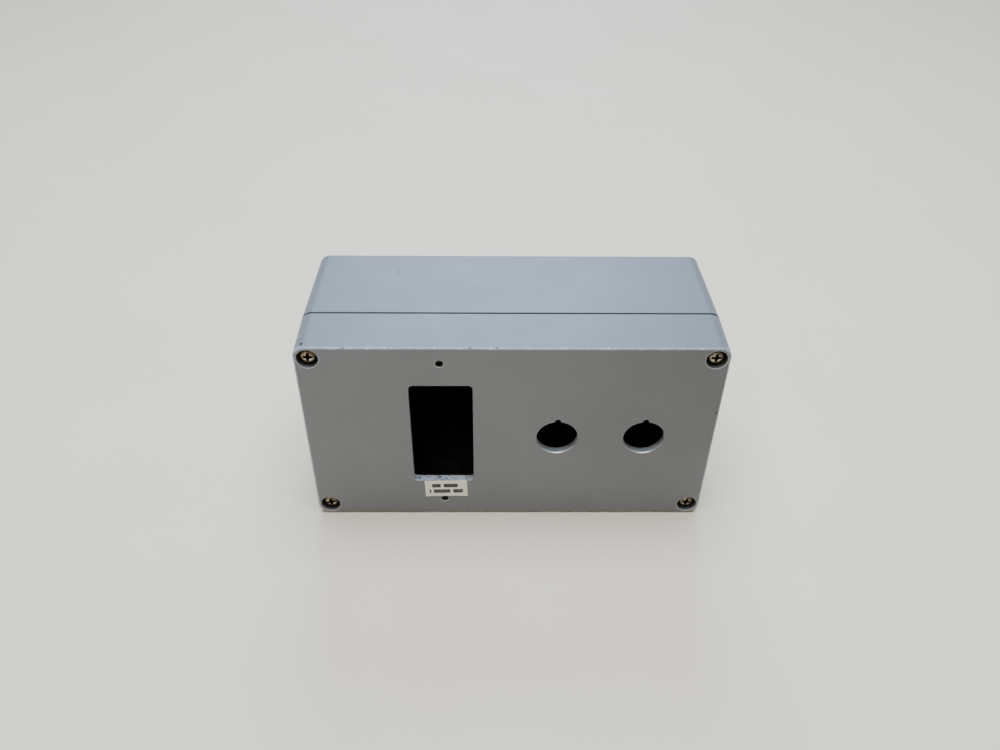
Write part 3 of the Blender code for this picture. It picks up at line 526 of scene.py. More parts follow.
def milled():
    """Bare aluminium where the openings were milled and drilled after painting, with painted shade on the
    walls that face sideways.
    """
    n = Nodes("milled_aluminium")
    n.set(Metallic=0.35)
    marks = n.pattern((1300, 5200, 1300))
    n.colour = n.blend(marks, (0.70, 0.745, 0.79), (0.86, 0.90, 0.94))
    left = n.along("X", -29, -34, 0.15, 1.0)
    patches = n.times(n.ramp(n.noise(620, 4, 0.75), 0.50, 0.57), left)
    n.coat(n.times(patches, 0.75), (0.15, 0.16, 0.18))
    line = n.maths("COMPARE", n.axis("X"), -24.6 * MM, 0.18 * MM)
    n.coat(n.times(line, 0.75), (0.08, 0.08, 0.09))
    beyond = n.along("X", -24.7, -24.5, 0.0, 0.45)
    n.coat(beyond, (0.30, 0.31, 0.33))
    # Painted shade: walls that face sideways are darkened, while ledges that face up or down are not.
    upright = n.ramp(n.maths("ABSOLUTE", n.axis("Z", n.coords.outputs["Normal"])), 0.5, 0.2, 0.0, 0.7)
    n.coat(upright, (0.16, 0.165, 0.17))
    rough = n.spread(marks, 0.30, 0.48)
    return n.finish(rough, n.bump(marks, 0.35, 0.00006))


def grease_and_shade_bore():
    """The screw counterbores: thin paint darkened with old grease and with painted shade deep inside, painted
    lighter towards the mouth, with a painted highlight round the lip.
    """
    n = Nodes("grease_and_shade_bore")
    grime = n.noise(320, 4, 0.7)
    n.colour = n.blend(grime, (0.040, 0.036, 0.030), (0.10, 0.094, 0.084))
    # Painted light: lighter from deep inside out to the mouth, with a painted highlight round the lip.
    mouth = n.along("Y", -41.8, -44.4, 0.0, 0.8)
    n.coat(mouth, (0.21, 0.205, 0.195))
    lip = n.along("Y", -44.62, -44.80)
    n.coat(lip, (0.50, 0.51, 0.52))
    return n.finish(n.spread(grime, 0.35, 0.6), n.bump(grime, 0.3, 0.00008))


def paper():
    """Cream paper with plain dark bars in two rows in place of print."""
    n = Nodes("label_paper")
    fibres = n.noise(900, 4, 0.7)
    n.colour = n.blend(fibres, (0.92, 0.88, 0.76), (0.97, 0.93, 0.82))
    stain = n.ramp(n.noise(140, 3), 0.52, 0.7, 0.0, 0.2)
    n.coat(stain, (0.50, 0.44, 0.33))
    x, z = n.axis("X"), n.axis("Z")
    wander = n.times(n.maths("SUBTRACT", n.noise(2500, 2), 0.5), 0.25 * MM)
    x = n.maths("ADD", x, wander)
    ink = None
    rows = ((2.3, ((-8.0, -3.0), (-1.4, 6.6))), (-2.1, ((-9.5, -8.6), (-7.2, 2.2), (3.8, 9.4))))
    for row_z, bars in rows:
        in_row = n.maths("COMPARE", z, row_z * MM, 1.45 * MM)
        for low, high in bars:
            bar = n.maths("COMPARE", x, (low + high) / 2 * MM, (high - low) / 2 * MM)
            bar = n.times(bar, in_row)
            ink = n.maths("MAXIMUM", ink, bar) if ink else bar
    ink = n.times(ink, n.ramp(n.noise(1800, 3), 0.25, 0.5, 0.7, 1.0))
    n.coat(ink, (0.03, 0.03, 0.035))
    rough = n.spread(fibres, 0.55, 0.75)
    return n.finish(rough, n.bump(fibres, 0.3, 0.00008))


def metal(name, dark, light, rough=(0.25, 0.42), along=(900, 900, 900), grime=0.3):
    """Plated or bare metal with fine scratches, which can follow a direction, and dull patches."""
    n = Nodes(name)
    n.set(Metallic=1.0)
    lines = n.pattern(along, 4, 0.65)
    n.colour = n.blend(lines, dark, light)
    patches = n.ramp(n.noise(260, 4, 0.65), 0.5, 0.68, 0.0, grime)
    n.coat(patches, tuple(0.35 * part for part in dark))
    roughness = n.spread(n.noise(500, 3), *rough)
    return n.finish(roughness, n.bump(lines, 0.25, 0.00005))


def yellow_zinc():
    """Yellow-zinc screw: polished by the driver in the middle, darkened brown towards its rim by old grease
    and by painted shade.
    """
    n = Nodes("yellow_zinc")
    n.set(Metallic=1.0)
    marks = n.noise(700, 4, 0.65)
    n.colour = n.blend(marks, (0.30, 0.245, 0.165), (0.60, 0.53, 0.42))
    # The head darkens towards its rim: partly old grease, partly painted shade.
    wobble = n.maths("MULTIPLY_ADD", n.noise(380, 3), 1.6 * MM, -0.8 * MM)
    reach = n.maths("ADD", n.length(n.scaled(1, 0, 1)), wobble)
    grime = n.ramp(reach, 2.3 * MM, 3.5 * MM, 0.0, 0.92)
    patches = n.ramp(n.noise(430, 4, 0.7), 0.44, 0.56, 0.0, 0.85)
    n.coat(n.maths("MAXIMUM", grime, patches), (0.06, 0.043, 0.026))
    roughness = n.spread(n.noise(500, 3), 0.16, 0.34)
    return n.finish(n.maths("MULTIPLY_ADD", grime, 0.25, roughness), n.bump(marks, 0.3, 0.00005))


def plastic(name, dark, light, rough=(0.42, 0.55)):
    """Moulded plastic with a fine spark-eroded texture, paler along edges that hands rub."""
    n = Nodes(name)
    broad = n.noise(70, 3)
    n.colour = n.blend(broad, dark, light)
    rub = n.times(n.edges(), n.ramp(n.noise(300, 3), 0.4, 0.7, 0.1, 0.5))
    n.coat(rub, tuple(min(1.0, part * 1.5 + 0.04) for part in light))
    dust = n.ramp(n.noise(650, 4, 0.7), 0.58, 0.72, 0.0, 0.18)
    n.coat(dust, (0.45, 0.43, 0.39))
    roughness = n.spread(broad, *rough)
    return n.finish(roughness, n.bump(n.noise(1800, 3, 0.6), 0.25, 0.00006))


def laminated():
    """The edges of stacked steel sheets: thin lines across the stack, with a touch of rust."""
    n = Nodes("laminated_steel")
    n.set(Metallic=0.9)
    sheet = n.maths("FRACT", n.times(n.axis("X"), 2000.0))
    line = n.ramp(n.maths("ABSOLUTE", n.maths("SUBTRACT", sheet, 0.5)), 0.36, 0.48)
    n.colour = n.blend(n.noise(500, 3), (0.26, 0.25, 0.24), (0.42, 0.41, 0.40))
    n.coat(line, (0.05, 0.048, 0.045))
    rust = n.ramp(n.noise(240, 4, 0.7), 0.60, 0.72, 0.0, 0.6)
    n.coat(rust, (0.20, 0.09, 0.04))
    return n.finish(n.ramp(line, 0, 1, 0.38, 0.6), n.bump(line, 0.5, -0.00008))


def pale_floor():
    n = Nodes("pale_floor")
    n.colour = n.blend(n.noise(9, 3), (0.93, 0.80, 0.62), (0.96, 0.835, 0.65))
    return n.finish(n.spread(n.noise(40, 2), 0.6, 0.7))


ENAMEL = enamel()
# The casting's unpainted inside, and the rim faces at the seam: dull, dark and slightly grainy; the darkness
# is partly painted shade, inside the box and in the seam between lid and base
CASTING_WITH_SHADE = surface(
    "casting_and_painted_shade", (120, 5, 0.65), (0.035, 0.036, 0.038), (0.075, 0.077, 0.08), (0.5, 0.68), (0.5, 0.00012),
    ((30, 3), 0.55, 0.7, 0.5, (0.02, 0.019, 0.017)), grain=(1400, 4, 0.7), Metallic=0.25,
)
MILLED = milled()
# The bright crescent where a hole's lower lip was deburred
DEBURRED = surface(
    "deburred_edge", ((2200, 2200, 2200),), (0.80, 0.82, 0.84), (0.95, 0.96, 0.98), (0.26, 0.38),
    (0.2, 0.00004), Metallic=0.55,
)
# The push-button holes' sawn walls: dull grey with circular marks
SAWN = surface(
    "sawn_wall", ((350, 5200, 350),), (0.38, 0.38, 0.37), (0.62, 0.62, 0.61), (0.32, 0.5), (0.35, 0.00006),
    ((260, 4, 0.7), 0.5, 0.66, 0.5, (0.15, 0.152, 0.15)), Metallic=0.5,
)
BORE = grease_and_shade_bore()
PAPER = paper()
RUBBER = surface(
    "seal_rubber", (1600, 4, 0.7), (0.018, 0.018, 0.018), (0.035, 0.034, 0.033), (0.7, 0.9), (0.3, 0.00008),
    ((110, 3), 0.5, 0.75, 0.35, (0.10, 0.10, 0.10)),
)
ZINC = yellow_zinc()
# The cross recess: very dark with grime, and with painted shade inside it.
RECESS = metal("recess_grime_and_shade", (0.02, 0.013, 0.008), (0.07, 0.045, 0.025), (0.5, 0.7), grime=0.8)
STEEL = metal("bright_steel", (0.52, 0.52, 0.50), (0.70, 0.70, 0.68))
RAIL_STEEL = metal("zinc_plated_rail", (0.55, 0.56, 0.56), (0.72, 0.73, 0.72), along=(60, 1500, 1500))
BRASS = metal("brass", (0.52, 0.38, 0.15), (0.74, 0.58, 0.28), grime=0.35)
COPPER = metal("copper", (0.50, 0.21, 0.10), (0.70, 0.33, 0.18), grime=0.35)
SILVER = metal("silver_tip", (0.62, 0.61, 0.58), (0.82, 0.81, 0.78), grime=0.45)
NYLON = plastic("nylon", (0.60, 0.57, 0.48), (0.72, 0.69, 0.60), (0.38, 0.5))
DARK_PLASTIC = plastic("dark_plastic", (0.022, 0.023, 0.026), (0.04, 0.041, 0.045))
PALE_PLASTIC = plastic("pale_plastic", (0.46, 0.46, 0.43), (0.56, 0.56, 0.53))
LAMINATED = laminated()
# Enamelled copper, streaked along each turn
WIRE = surface(
    "enamelled_wire", ((500, 2600, 500),), (0.34, 0.12, 0.045), (0.58, 0.23, 0.09), (0.25, 0.4),
    (0.2, 0.00004), Metallic=0.8, Coat_Weight=0.6, Coat_Roughness=0.15,
)
FLOOR = pale_floor()


# ---- box


def edge_wear(point, inward, end_y, edge_radius):
    """Moves a point of the shell by the casting's unevenness and, near the outer edge, by small dents."""
    near_edge = 1 - min(abs(point.y - end_y) / (edge_radius * 1.4), 1)
    sway = noise.noise(point * 55) * 0.03 * MM
    dent = max(noise.noise(point * 310 + Vector((3, 5, 7))) - 0.42, 0) * 0.9 * MM * near_edge
    return point + inward * (sway + dent)


def shell(name, rim_y, end_y, draft, edge_radius):
    """One half of the box: rounded rim, drafted sides and rounded far edge, slightly uneven."""
    towards = copysign(1, end_y - rim_y)
    span = abs(end_y - rim_y)
    stations = []
    for step in range(4):
        turn = pi / 2 * step / 3
        stations.append((RIM_EDGE_RADIUS * (1 - cos(turn)), RIM_EDGE_RADIUS * (1 - sin(turn))))
    stations += [(1.6 * MM, 0), (span * 0.5, 0), (span - edge_radius - 1.2 * MM, 0)]
    for step in range(7):
        turn = pi / 2 * step / 6
        stations.append((span - edge_radius * (1 - sin(turn)), edge_radius * (1 - cos(turn))))
    loops = []
    for distance, inset in stations:
        y = rim_y + towards * distance
        loop = []
        for x, z in shell_points(distance * tan(draft) + inset):
            point = Vector((x, y, z))
            inward = Vector((-x, 0, MID_Z - z))
            inward.x = inward.x if abs(x) > LENGTH / 2 - CORNER_RADIUS - 2 * MM else 0
            inward.z = inward.z if abs(z - MID_Z) > HEIGHT / 2 - CORNER_RADIUS - 2 * MM else 0
            inward = inward.normalized() + Vector((0, -towards * 0.5, 0))
            loop.append(edge_wear(point, inward, end_y, edge_radius))
        loops.append(loop)
    bm = loft(loops, first_cap=1)
    # The rim's cap and the first rings of its rounding take the dark casting colour, as painted shade in the
    # seam between lid and base
    bm.faces.ensure_lookup_table()
    for face in bm.faces[: 3 * len(loops[0])]:
        face.material_index = 1
    return make_object(bm, name, ENAMEL, CASTING_WITH_SHADE)


def make_lid():
    lid = shell("lid_casting", LID_RIM_Y, FRONT_Y, LID_DRAFT, FRONT_EDGE_RADIUS)
    cavity = prism(cavity_points(0), LID_INNER_Y, LID_RIM_Y + MM)
    groove = seal_band(GROOVE_WIDTH, LID_RIM_Y - GROOVE_DEPTH, LID_RIM_Y + MM)
    back = LID_INNER_Y + MM
    cutout = flared(cutout_points, FRONT_Y, back, 0.2 * MM)
    openings, plate_holes, bores, pockets = [bmesh.new() for _ in range(4)]
    for x in BUTTON_X:
        flared(lambda grow, x=x: button_points(x, grow), FRONT_Y, back, 0.42 * MM, openings, 1.1 * MM)
    for x, z in PLATE_HOLES:
        flared(
            lambda grow, x=x, z=z: circle(x, z, PLATE_HOLE_RADIUS + grow),
            FRONT_Y, back, 0.12 * MM, plate_holes,
        )
    wide, hole, pocket = COUNTERBORE_RADIUS, SCREW_HOLE_RADIUS, RING_POCKET_RADIUS
    profile = [(wide + 0.35 * MM, FRONT_Y - MM), (wide + 0.35 * MM, FRONT_Y + 0.02 * MM)]
    profile += [(wide + 0.12 * MM, FRONT_Y + 0.12 * MM), (wide, FRONT_Y + 0.4 * MM)]
    profile += [(wide, HEAD_SEAT_Y - 0.3 * MM), (wide - 0.3 * MM, HEAD_SEAT_Y), (hole, HEAD_SEAT_Y)]
    profile += [(hole, RING_POCKET_Y), (pocket, RING_POCKET_Y), (pocket, LID_RIM_Y - 0.2 * MM)]
    profile += [(pocket + 0.2 * MM, LID_RIM_Y), (pocket + 0.2 * MM, LID_RIM_Y + MM)]
    for _, x, z in corners_at(SCREW_X, SCREW_Z):
        turned(profile, x, z, bores)
    for _, x, z in corners_at(WALL_HOLE_X, WALL_HOLE_Z):
        prism(circle(x, z, POCKET_RADIUS), LID_RIM_Y - 6 * MM, LID_RIM_Y + MM, pockets)
    carve(
        lid,
        (CUT, cavity, CASTING_WITH_SHADE),
        (CUT, groove, CASTING_WITH_SHADE),
        (CUT, cutout, MILLED, MILLED),
        (CUT, openings, DEBURRED, SAWN),
        (CUT, plate_holes, DEBURRED, BORE),
        (CUT, bores, BORE),
        (CUT, pockets, CASTING_WITH_SHADE),
    )
    weighted_normals(lid)
    stand_for(lid, "lid", "lid")


def make_base():
    base = shell("base_casting", BASE_RIM_Y, BACK_Y, BASE_DRAFT, BACK_EDGE_RADIUS)
    depths = [(0, BASE_RIM_Y - MM), (0, BACK_INNER_Y - 1.2 * MM)]
    depths += [(-0.35 * MM, BACK_INNER_Y - 0.35 * MM), (-1.2 * MM, BACK_INNER_Y)]
    cavity = loft([along_y(cavity_points(offset), y) for offset, y in depths])
    tongue = seal_band(TONGUE_WIDTH, BASE_RIM_Y - TONGUE_HEIGHT, BASE_RIM_Y + MM)
    bosses = bmesh.new()
    for x, z, height in BOSSES:
        top, foot = BACK_INNER_Y - height, BOSS_RADIUS + 0.15 * MM
        profile = [(BOSS_RADIUS - 0.3 * MM, top), (BOSS_RADIUS, top + 0.4 * MM)]
        profile += [(foot, BACK_INNER_Y), (foot, BACK_INNER_Y + MM)]
        turned(profile, x, z, bosses)
    holes = bmesh.new()
    for _, x, z in corners_at(SCREW_X, SCREW_Z):
        wide, r = THREAD_HOLE_RADIUS + 0.3 * MM, THREAD_HOLE_RADIUS
        profile = [(wide, BASE_RIM_Y - MM), (wide, BASE_RIM_Y), (r, BASE_RIM_Y + 0.4 * MM), (r, -6 * MM)]
        turned(profile, x, z, holes, 32)
    for _, x, z in corners_at(WALL_HOLE_X, WALL_HOLE_Z):
        wide, r = WALL_HOLE_RADIUS + 0.5 * MM, WALL_HOLE_RADIUS
        profile = [(wide, BASE_RIM_Y - MM), (wide, BASE_RIM_Y), (r, BASE_RIM_Y + 0.5 * MM)]
        profile += [(r, BACK_Y - 0.5 * MM), (wide, BACK_Y), (wide, BACK_Y + MM)]
        turned(profile, x, z, holes, 32)
    for x, z, _ in BOSSES:
        prism(circle(x, z, BOSS_HOLE_RADIUS, 32), 36 * MM, BOSS_HOLE_END_Y, holes)
    carve(
        base,
        (CUT, cavity, CASTING_WITH_SHADE),
        (JOIN, tongue, CASTING_WITH_SHADE),
        (JOIN, bosses, CASTING_WITH_SHADE),
        (CUT, holes, MILLED),
    )
    weighted_normals(base)
    stand_for(base, "base")


# ---- lid screws, rings, seal and label


def cross_cutter(radius, front_y, depth, turn):
    """A tapering cross with rounded ends and wide fillets between its arms."""
    loops = []
    for share, scale in ((0.0, 1.0), (0.3, 0.86), (1.0, 0.42)):
        arm, half = radius * scale, radius * (0.25 if share < 1 else 0.15)
        corners = []
        radii = []
        for quarter in range(4):
            spin = Matrix.Rotation(quarter * pi / 2 + radians(turn), 2)
            inner = (half * 1.25, half * 1.25)
            for point, fillet in (((arm, -half * 0.8), 0.5), ((arm, half * 0.8), 0.5), (inner, 0.35)):
                vector = Vector(point)
                vector.rotate(spin)
                corners.append(tuple(vector))
                radii.append(fillet * half)
        loops.append(along_y(rounded(corners, radii, 3), front_y + depth * share))
    return loft(loops)


def thread(start_y, end_y, radius, pitch):
    """A threaded rod along Y: the radius follows the helix, and both ends taper."""
    steps, rows_per_turn, depth = 20, 5, 0.36 * MM
    count = round((end_y - start_y) / pitch * rows_per_turn)
    loops = []
    for row in range(count + 1):
        y = start_y + (end_y - start_y) * row / count
        taper = min(row / rows_per_turn, 1) * 0.15 + 0.85
        tip = min((count - row) / rows_per_turn / 1.5, 1)
        loop = []
        for i in range(steps):
            turn = 2 * pi * i / steps
            phase = ((y - start_y) / pitch - i / steps) % 1
            ridge = 1 - abs(2 * phase - 1)
            r = (radius - depth * (1 - ridge)) * (0.72 + 0.28 * tip) * taper
            loop.append(Vector((r * cos(turn), y, r * sin(turn))))
        loops.append(loop)
    return loft(loops)


def make_screw(name, place, tip_y, head, shank, turn, node, body, metal):
    """A domed cross-head screw whose head faces -Y, built about its own seat."""
    radius, height = head
    shank_radius, pitch = shank
    profile = [(shank_radius * 0.9, 1.2 * MM), (shank_radius, 0), (radius - 0.15 * MM, 0)]
    profile += [(radius, -0.15 * MM), (radius, -height * 0.38)]
    for step in range(1, 10):
        lift = pi / 2 * step / 10
        profile.append((radius * cos(lift) ** 0.8, -height * (0.38 + 0.62 * sin(lift))))
    screw = make_object(turned(profile, 0, 0), name, metal)
    cross = cross_cutter(radius * 0.6, -height - 0.1 * MM, height * 0.8, turn)
    carve(screw, (CUT, cross, RECESS), degrees=40)
    rod = thread(1.0 * MM, tip_y - place[1], shank_radius, pitch)
    rod = make_object(rod, f"{name}_thread", metal, degrees=50)
    stand_for(screw, node, body)
    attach(rod, body)
    for piece in (screw, rod):
        piece.location = place


def softened(outer, inner, low, high, edge):
    """The cross-section of a ring or strip with its four corners taken off."""
    walls = [(outer, low + edge), (outer, high - edge), (outer - edge, high), (inner + edge, high)]
    return walls + [(inner, high - edge), (inner, low + edge), (inner + edge, low), (outer - edge, low)]


def make_ring(name, x, z):
    walls = softened(RING_RADIUS, RING_HOLE_RADIUS, RING_FRONT_Y, RING_BACK_Y, 0.2 * MM)
    loops = [along_y(circle(x, z, r, 40), y) for r, y in walls]
    ring = make_object(loft(loops, closed=True), f"retaining_{name}", NYLON)
    stand_for(ring, name, name)


def make_lid_screws():
    for name, x, z in corners_at(SCREW_X, SCREW_Z):
        make_screw(
            f"cross_screw_{name}", (x, SCREW_SEAT_Y, z), SCREW_TIP_Y,
            (SCREW_HEAD_RADIUS, SCREW_HEAD_HEIGHT), (SCREW_RADIUS, SCREW_PITCH), SCREW_TURNS[name],
            f"lid_screw_{name}", f"lid_screw_{name}", ZINC,
        )
        make_ring(f"captive_ring_{name}", x, z)


def make_seal():
    """A moulded strip with rounded shoulders, lying in the lid's groove."""
    half = TONGUE_WIDTH / 2
    bottom, top = LID_RIM_Y - GROOVE_DEPTH + 0.3 * MM, BASE_RIM_Y - TONGUE_HEIGHT - 0.3 * MM
    walls = softened(half, -half, bottom, top, 0.25 * MM)
    loops = [along_y(cavity_points(SEAL_LINE + out, 6), y) for out, y in walls]
    seal = make_object(loft(loops, closed=True), "seal_strip", RUBBER)
    stand_for(seal, "lid_seal", "lid")


def make_label():
    """A paper label that lifts a little at its lower corners."""
    columns, rows = 36, 20
    bm = bmesh.new()
    grid = {}
    for layer in (0, 1):
        for i in range(columns + 1):
            for j in range(rows + 1):
                u, v = 2 * i / columns - 1, 2 * j / rows - 1
                point = Vector((u * LABEL_HALF_WIDTH, 0, v * LABEL_HALF_HEIGHT))
                cockle = noise.noise(point * 180) * 0.05 * MM
                lift = max(u - v - 1.35, 0) ** 2 * 0.75 * MM + max(-u - v - 1.6, 0) ** 2 * 0.9 * MM
                point.y = -lift - abs(cockle) * 0.4 - layer * LABEL_THICKNESS
                grid[layer, i, j] = bm.verts.new(point)
    for layer in (0, 1):
        for i in range(columns):
            for j in range(rows):
                quad = [grid[layer, i + di, j + dj] for di, dj in ((0, 0), (1, 0), (1, 1), (0, 1))]
                bm.faces.new(quad)
    border = [(i, 0) for i in range(columns)] + [(columns, j) for j in range(rows)]
    border += [(columns - i, rows) for i in range(columns)] + [(0, rows - j) for j in range(rows)]
    for first, second in zip(border, border[1:] + border[:1]):
        bm.faces.new((grid[(0, *first)], grid[(0, *second)], grid[(1, *second)], grid[(1, *first)]))
    label = make_object(bm, "paper_label", PAPER, degrees=60)
    label.location = (LABEL_X, FRONT_Y - LABEL_GAP, LABEL_Z)
    label.rotation_euler = (0, -LABEL_TILT, 0)
    stand_for(label, "rating_label", "lid")


# ---- inside


def refine(node, material, edge=0.25 * MM, body="enclosure"):
    """The CAD node's own shape with its coplanar faces joined and its edges rounded."""
    bm = bmesh.new()
    bm.from_mesh(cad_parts[node].data)
    bmesh.ops.remove_doubles(bm, verts=bm.verts, dist=0.002 * MM)
    bmesh.ops.dissolve_limit(bm, angle_limit=radians(0.6), verts=bm.verts, edges=bm.edges)
    piece = make_object(bm, f"{node}_body", material, degrees=30)
    modifier = piece.modifiers.new("edges", "BEVEL")
    modifier.width = edge
    modifier.segments = 2
    modifier.angle_limit = radians(30)
    modifier.miter_outer = "MITER_ARC"
    settle(piece, 40)
    weighted_normals(piece)
    stand_for(piece, node, body)


def upright(outline, z):
    return [Vector((u, v, z)) for u, v in outline]


def block(outline, half_width, edge):
    """A rounded-off prism of the contactor: its outline in Y and height, carried across X."""
    ends = (COIL_X - half_width, COIL_X + half_width)
    bm = loft([[Vector((end, y, MID_Z + w)) for y, w in outline] for end in ends])
    if edge:
        rounding = {"segments": 3, "profile": 0.5, "affect": "EDGES", "clamp_overlap": True}
        bmesh.ops.bevel(bm, geom=bm.edges, offset=edge, **rounding)
    return bm


def heights(up, near, far):
    """Two heights above or below the box's middle, the lower one first."""
    return sorted((MID_Z + up * near, MID_Z + up * far))


def mirrored(points):
    """Adds the lower half of an outline to its upper half."""
    return points + [(y, -w) for y, w in reversed(points)]


def about_middle(half_x, half_z, radius):
    """A rounded rectangle centred on the contactor."""
    corners = rectangle(COIL_X - half_x, COIL_X + half_x, MID_Z - half_z, MID_Z + half_z)
    return rounded(corners, [radius] * 4, 4)


def make_cover():
    """The contactor's front half, with round terminal wells, wire entries, barriers and a window."""
    outside = [(COVER_BACK_Y, BODY_HALF_HEIGHT), (DECK_FRONT_Y, BODY_HALF_HEIGHT)]
    outside += [(DECK_FRONT_Y, SHOULDER_Z), (COVER_FRONT_Y, SHOULDER_Z)]
    inner_z = BODY_HALF_HEIGHT - COVER_WALL
    inside = [(COVER_BACK_Y + MM, inner_z), (DECK_BACK_Y, inner_z)]
    inside += [(DECK_BACK_Y, SHOULDER_Z - 2 * MM), (COVER_FRONT_Y + 2 * MM, SHOULDER_Z - 2 * MM)]
    cover = make_object(block(mirrored(outside), BODY_HALF_WIDTH, 0.45 * MM), "moulded_cover", PALE_PLASTIC)
    wells, entries, barriers, panels, grips = [bmesh.new() for _ in range(5)]
    entry_y = (DECK_FRONT_Y + DECK_BACK_Y) / 2
    for up in (1, -1):
        z = MID_Z + up * TERMINAL_Z
        for _, x in COLUMNS:
            flared(
                lambda grow, x=x, z=z: circle(x, z, WELL_RADIUS + grow, 40),
                DECK_FRONT_Y, DECK_BACK_Y + MM, 0.35 * MM, wells,
            )
            loops = []
            mouth = BODY_HALF_HEIGHT
            for height, grow in ((TERMINAL_Z, 0), (mouth - 0.4 * MM, 0), (mouth + 0.2 * MM, 0.5 * MM)):
                loops.append(upright(circle(x, entry_y, 1.6 * MM + grow, 24), MID_Z + up * height))
            loft(loops, entries)
        for column in (-1, 0, 1):
            x = COIL_X + column * TERMINAL_PITCH
            low, high = heights(up, SHOULDER_Z + 1.5 * MM, BODY_HALF_HEIGHT + MM)
            corners = rectangle(x - 0.4 * MM, x + 0.4 * MM, low, high)
            prism(corners, DECK_FRONT_Y - MM, DECK_FRONT_Y + 1.6 * MM, barriers)
    window = flared(
        lambda grow: about_middle(2.1 * MM + grow, 4.1 * MM + grow, 0.5 * MM + grow),
        COVER_FRONT_Y, COVER_FRONT_Y + 3 * MM, 0.4 * MM,
    )
    for low, high in ((-17.5, -7.5), (7.5, 17.5)):
        corners = rectangle(COIL_X - 14 * MM, COIL_X + 14 * MM, MID_Z + low * MM, MID_Z + high * MM)
        prism(rounded(corners, [1.2 * MM] * 4, 5), COVER_FRONT_Y - MM, COVER_FRONT_Y + 0.35 * MM, panels)
    for right in (-1, 1):
        for step in range(6):
            y = COVER_FRONT_Y + (6 + 1.6 * step) * MM
            for up in (-1, 1):
                corners = rectangle(y - 0.35 * MM, y + 0.35 * MM, *heights(up, 8 * MM, 17 * MM))
                x = COIL_X + right * (BODY_HALF_WIDTH + 0.6 * MM)
                loft([[Vector((x + dx, a, b)) for a, b in corners] for dx in (-MM, MM)], grips)
    hollow = block(mirrored(inside), BODY_HALF_WIDTH - COVER_WALL, 0)
    shapes = (hollow, wells, entries, barriers, window, panels, grips)
    carve(cover, *[(CUT, shape, PALE_PLASTIC, PALE_PLASTIC) for shape in shapes])
    weighted_normals(cover)
    stand_for(cover, "contactor_cover")


def make_springs():
    """Return springs of round wire with closed end turns."""
    turns, per_turn, wire_steps = 5.5, 28, 10
    count = round(turns * per_turn)
    length = SPRING_END_Y - SPRING_START_Y
    for row, up in ROWS:
        middle = Vector((COIL_X, 0, MID_Z + up * SPRING_Z))
        centres = []
        for i in range(count + 1):
            share = i / count
            eased = min(max((share - 0.09) / 0.82, 0), 1)
            turn = 2 * pi * turns * share
            y = SPRING_START_Y + length * (eased * 0.86 + share * 0.14)
            centres.append(middle + Vector((SPRING_RADIUS * cos(turn), y, SPRING_RADIUS * sin(turn))))
        loops = []
        for i, centre in enumerate(centres):
            along = (centres[min(i + 1, count)] - centres[max(i - 1, 0)]).normalized()
            out = Vector((centre.x - middle.x, 0, centre.z - middle.z)).normalized()
            side = along.cross(out).normalized()
            ring = [2 * pi * j / wire_steps for j in range(wire_steps)]
            loops.append([centre + SPRING_WIRE_RADIUS * (out * cos(a) + side * sin(a)) for a in ring])
        spring = make_object(loft(loops), f"wound_spring_{row}", STEEL, degrees=60)
        stand_for(spring, f"return_spring_{row}")
        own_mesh(spring)


def make_winding():
    """Layers of wire round the bobbin, with each turn standing out as a ridge."""
    start, end, pitch = 7.9 * MM, 20.3 * MM, 0.4 * MM
    rows = round((end - start) / pitch * 4)
    walls = []
    for row in range(rows + 1):
        y = start + (end - start) * row / rows
        ridge = abs(sin(pi * (y - start) / pitch))
        bulge = 0.12 * MM * sin(pi * row / rows)
        walls.append((4.85 * MM + 0.13 * MM * ridge + bulge, y))
    walls += [(1.5 * MM, end), (1.5 * MM, start)]
    loops = []
    for out, y in walls:
        loops.append(along_y(about_middle(7 * MM + out, 4 * MM + out, 0.3 * MM + out / 2), y))
    winding = make_object(loft(loops, closed=True), "wire_winding", WIRE, degrees=50)
    stand_for(winding, "coil_winding")


def make_tips(name, body, x, back, front):
    """Domed silver contacts, one above and one below the middle."""
    bm = bmesh.new()
    crown = back + (front - back) * 0.7
    profile = [(1.45 * MM, back), (1.45 * MM, crown)]
    profile += [(1.2 * MM, crown + (front - crown) * 0.6), (0.7 * MM, front)]
    for up in (1, -1):
        turned(profile, x, MID_Z + up * CONTACT_Z, bm, 32)
    tips = make_object(bm, name, SILVER)
    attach(tips, body)


def make_plate(name, corners, radius, steps, low, high, metal):
    return make_object(prism(rounded(corners, [radius] * 4, steps), low, high), name, metal)


def make_contacts():
    """Bridges and fixed contacts with rounded ends, and silver tips facing each other."""
    for pole, x in COLUMNS[:3]:
        corners = rectangle(x - 2.8 * MM, x + 2.8 * MM, MID_Z - 12.6 * MM, MID_Z + 12.6 * MM)
        span = (BRIDGE_FRONT_Y, BRIDGE_BACK_Y)
        bridge = make_plate(f"copper_bridge_{pole}", corners, 1.2 * MM, 5, *span, COPPER)
        stand_for(bridge, f"contact_bridge_{pole}", "contact_carrier")
        back, front = BRIDGE_BACK_Y - 0.1 * MM, BRIDGE_BACK_Y + 0.8 * MM
        make_tips(f"bridge_tips_{pole}", "contact_carrier", x, back, front)
        back, front = STRAP_FRONT_Y + 0.1 * MM, STRAP_FRONT_Y - 0.8 * MM
        make_tips(f"strap_tips_{pole}", "enclosure", x, back, front)
        for row, up in ROWS:
            corners = rectangle(x - 3 * MM, x + 3 * MM, *heights(up, 8 * MM, 28.8 * MM))
            span = (STRAP_FRONT_Y, STRAP_BACK_Y)
            strap = make_plate(f"brass_strap_{pole}_{row}", corners, 0.8 * MM, 4, *span, BRASS)
            hole = circle(x, MID_Z + up * TERMINAL_Z, 1.6 * MM, 32)
            carve(strap, (CUT, prism(hole, STRAP_FRONT_Y - 1.3 * MM, STRAP_BACK_Y + 1.5 * MM), BRASS))
            stand_for(strap, f"contact_strap_{pole}_{row}")


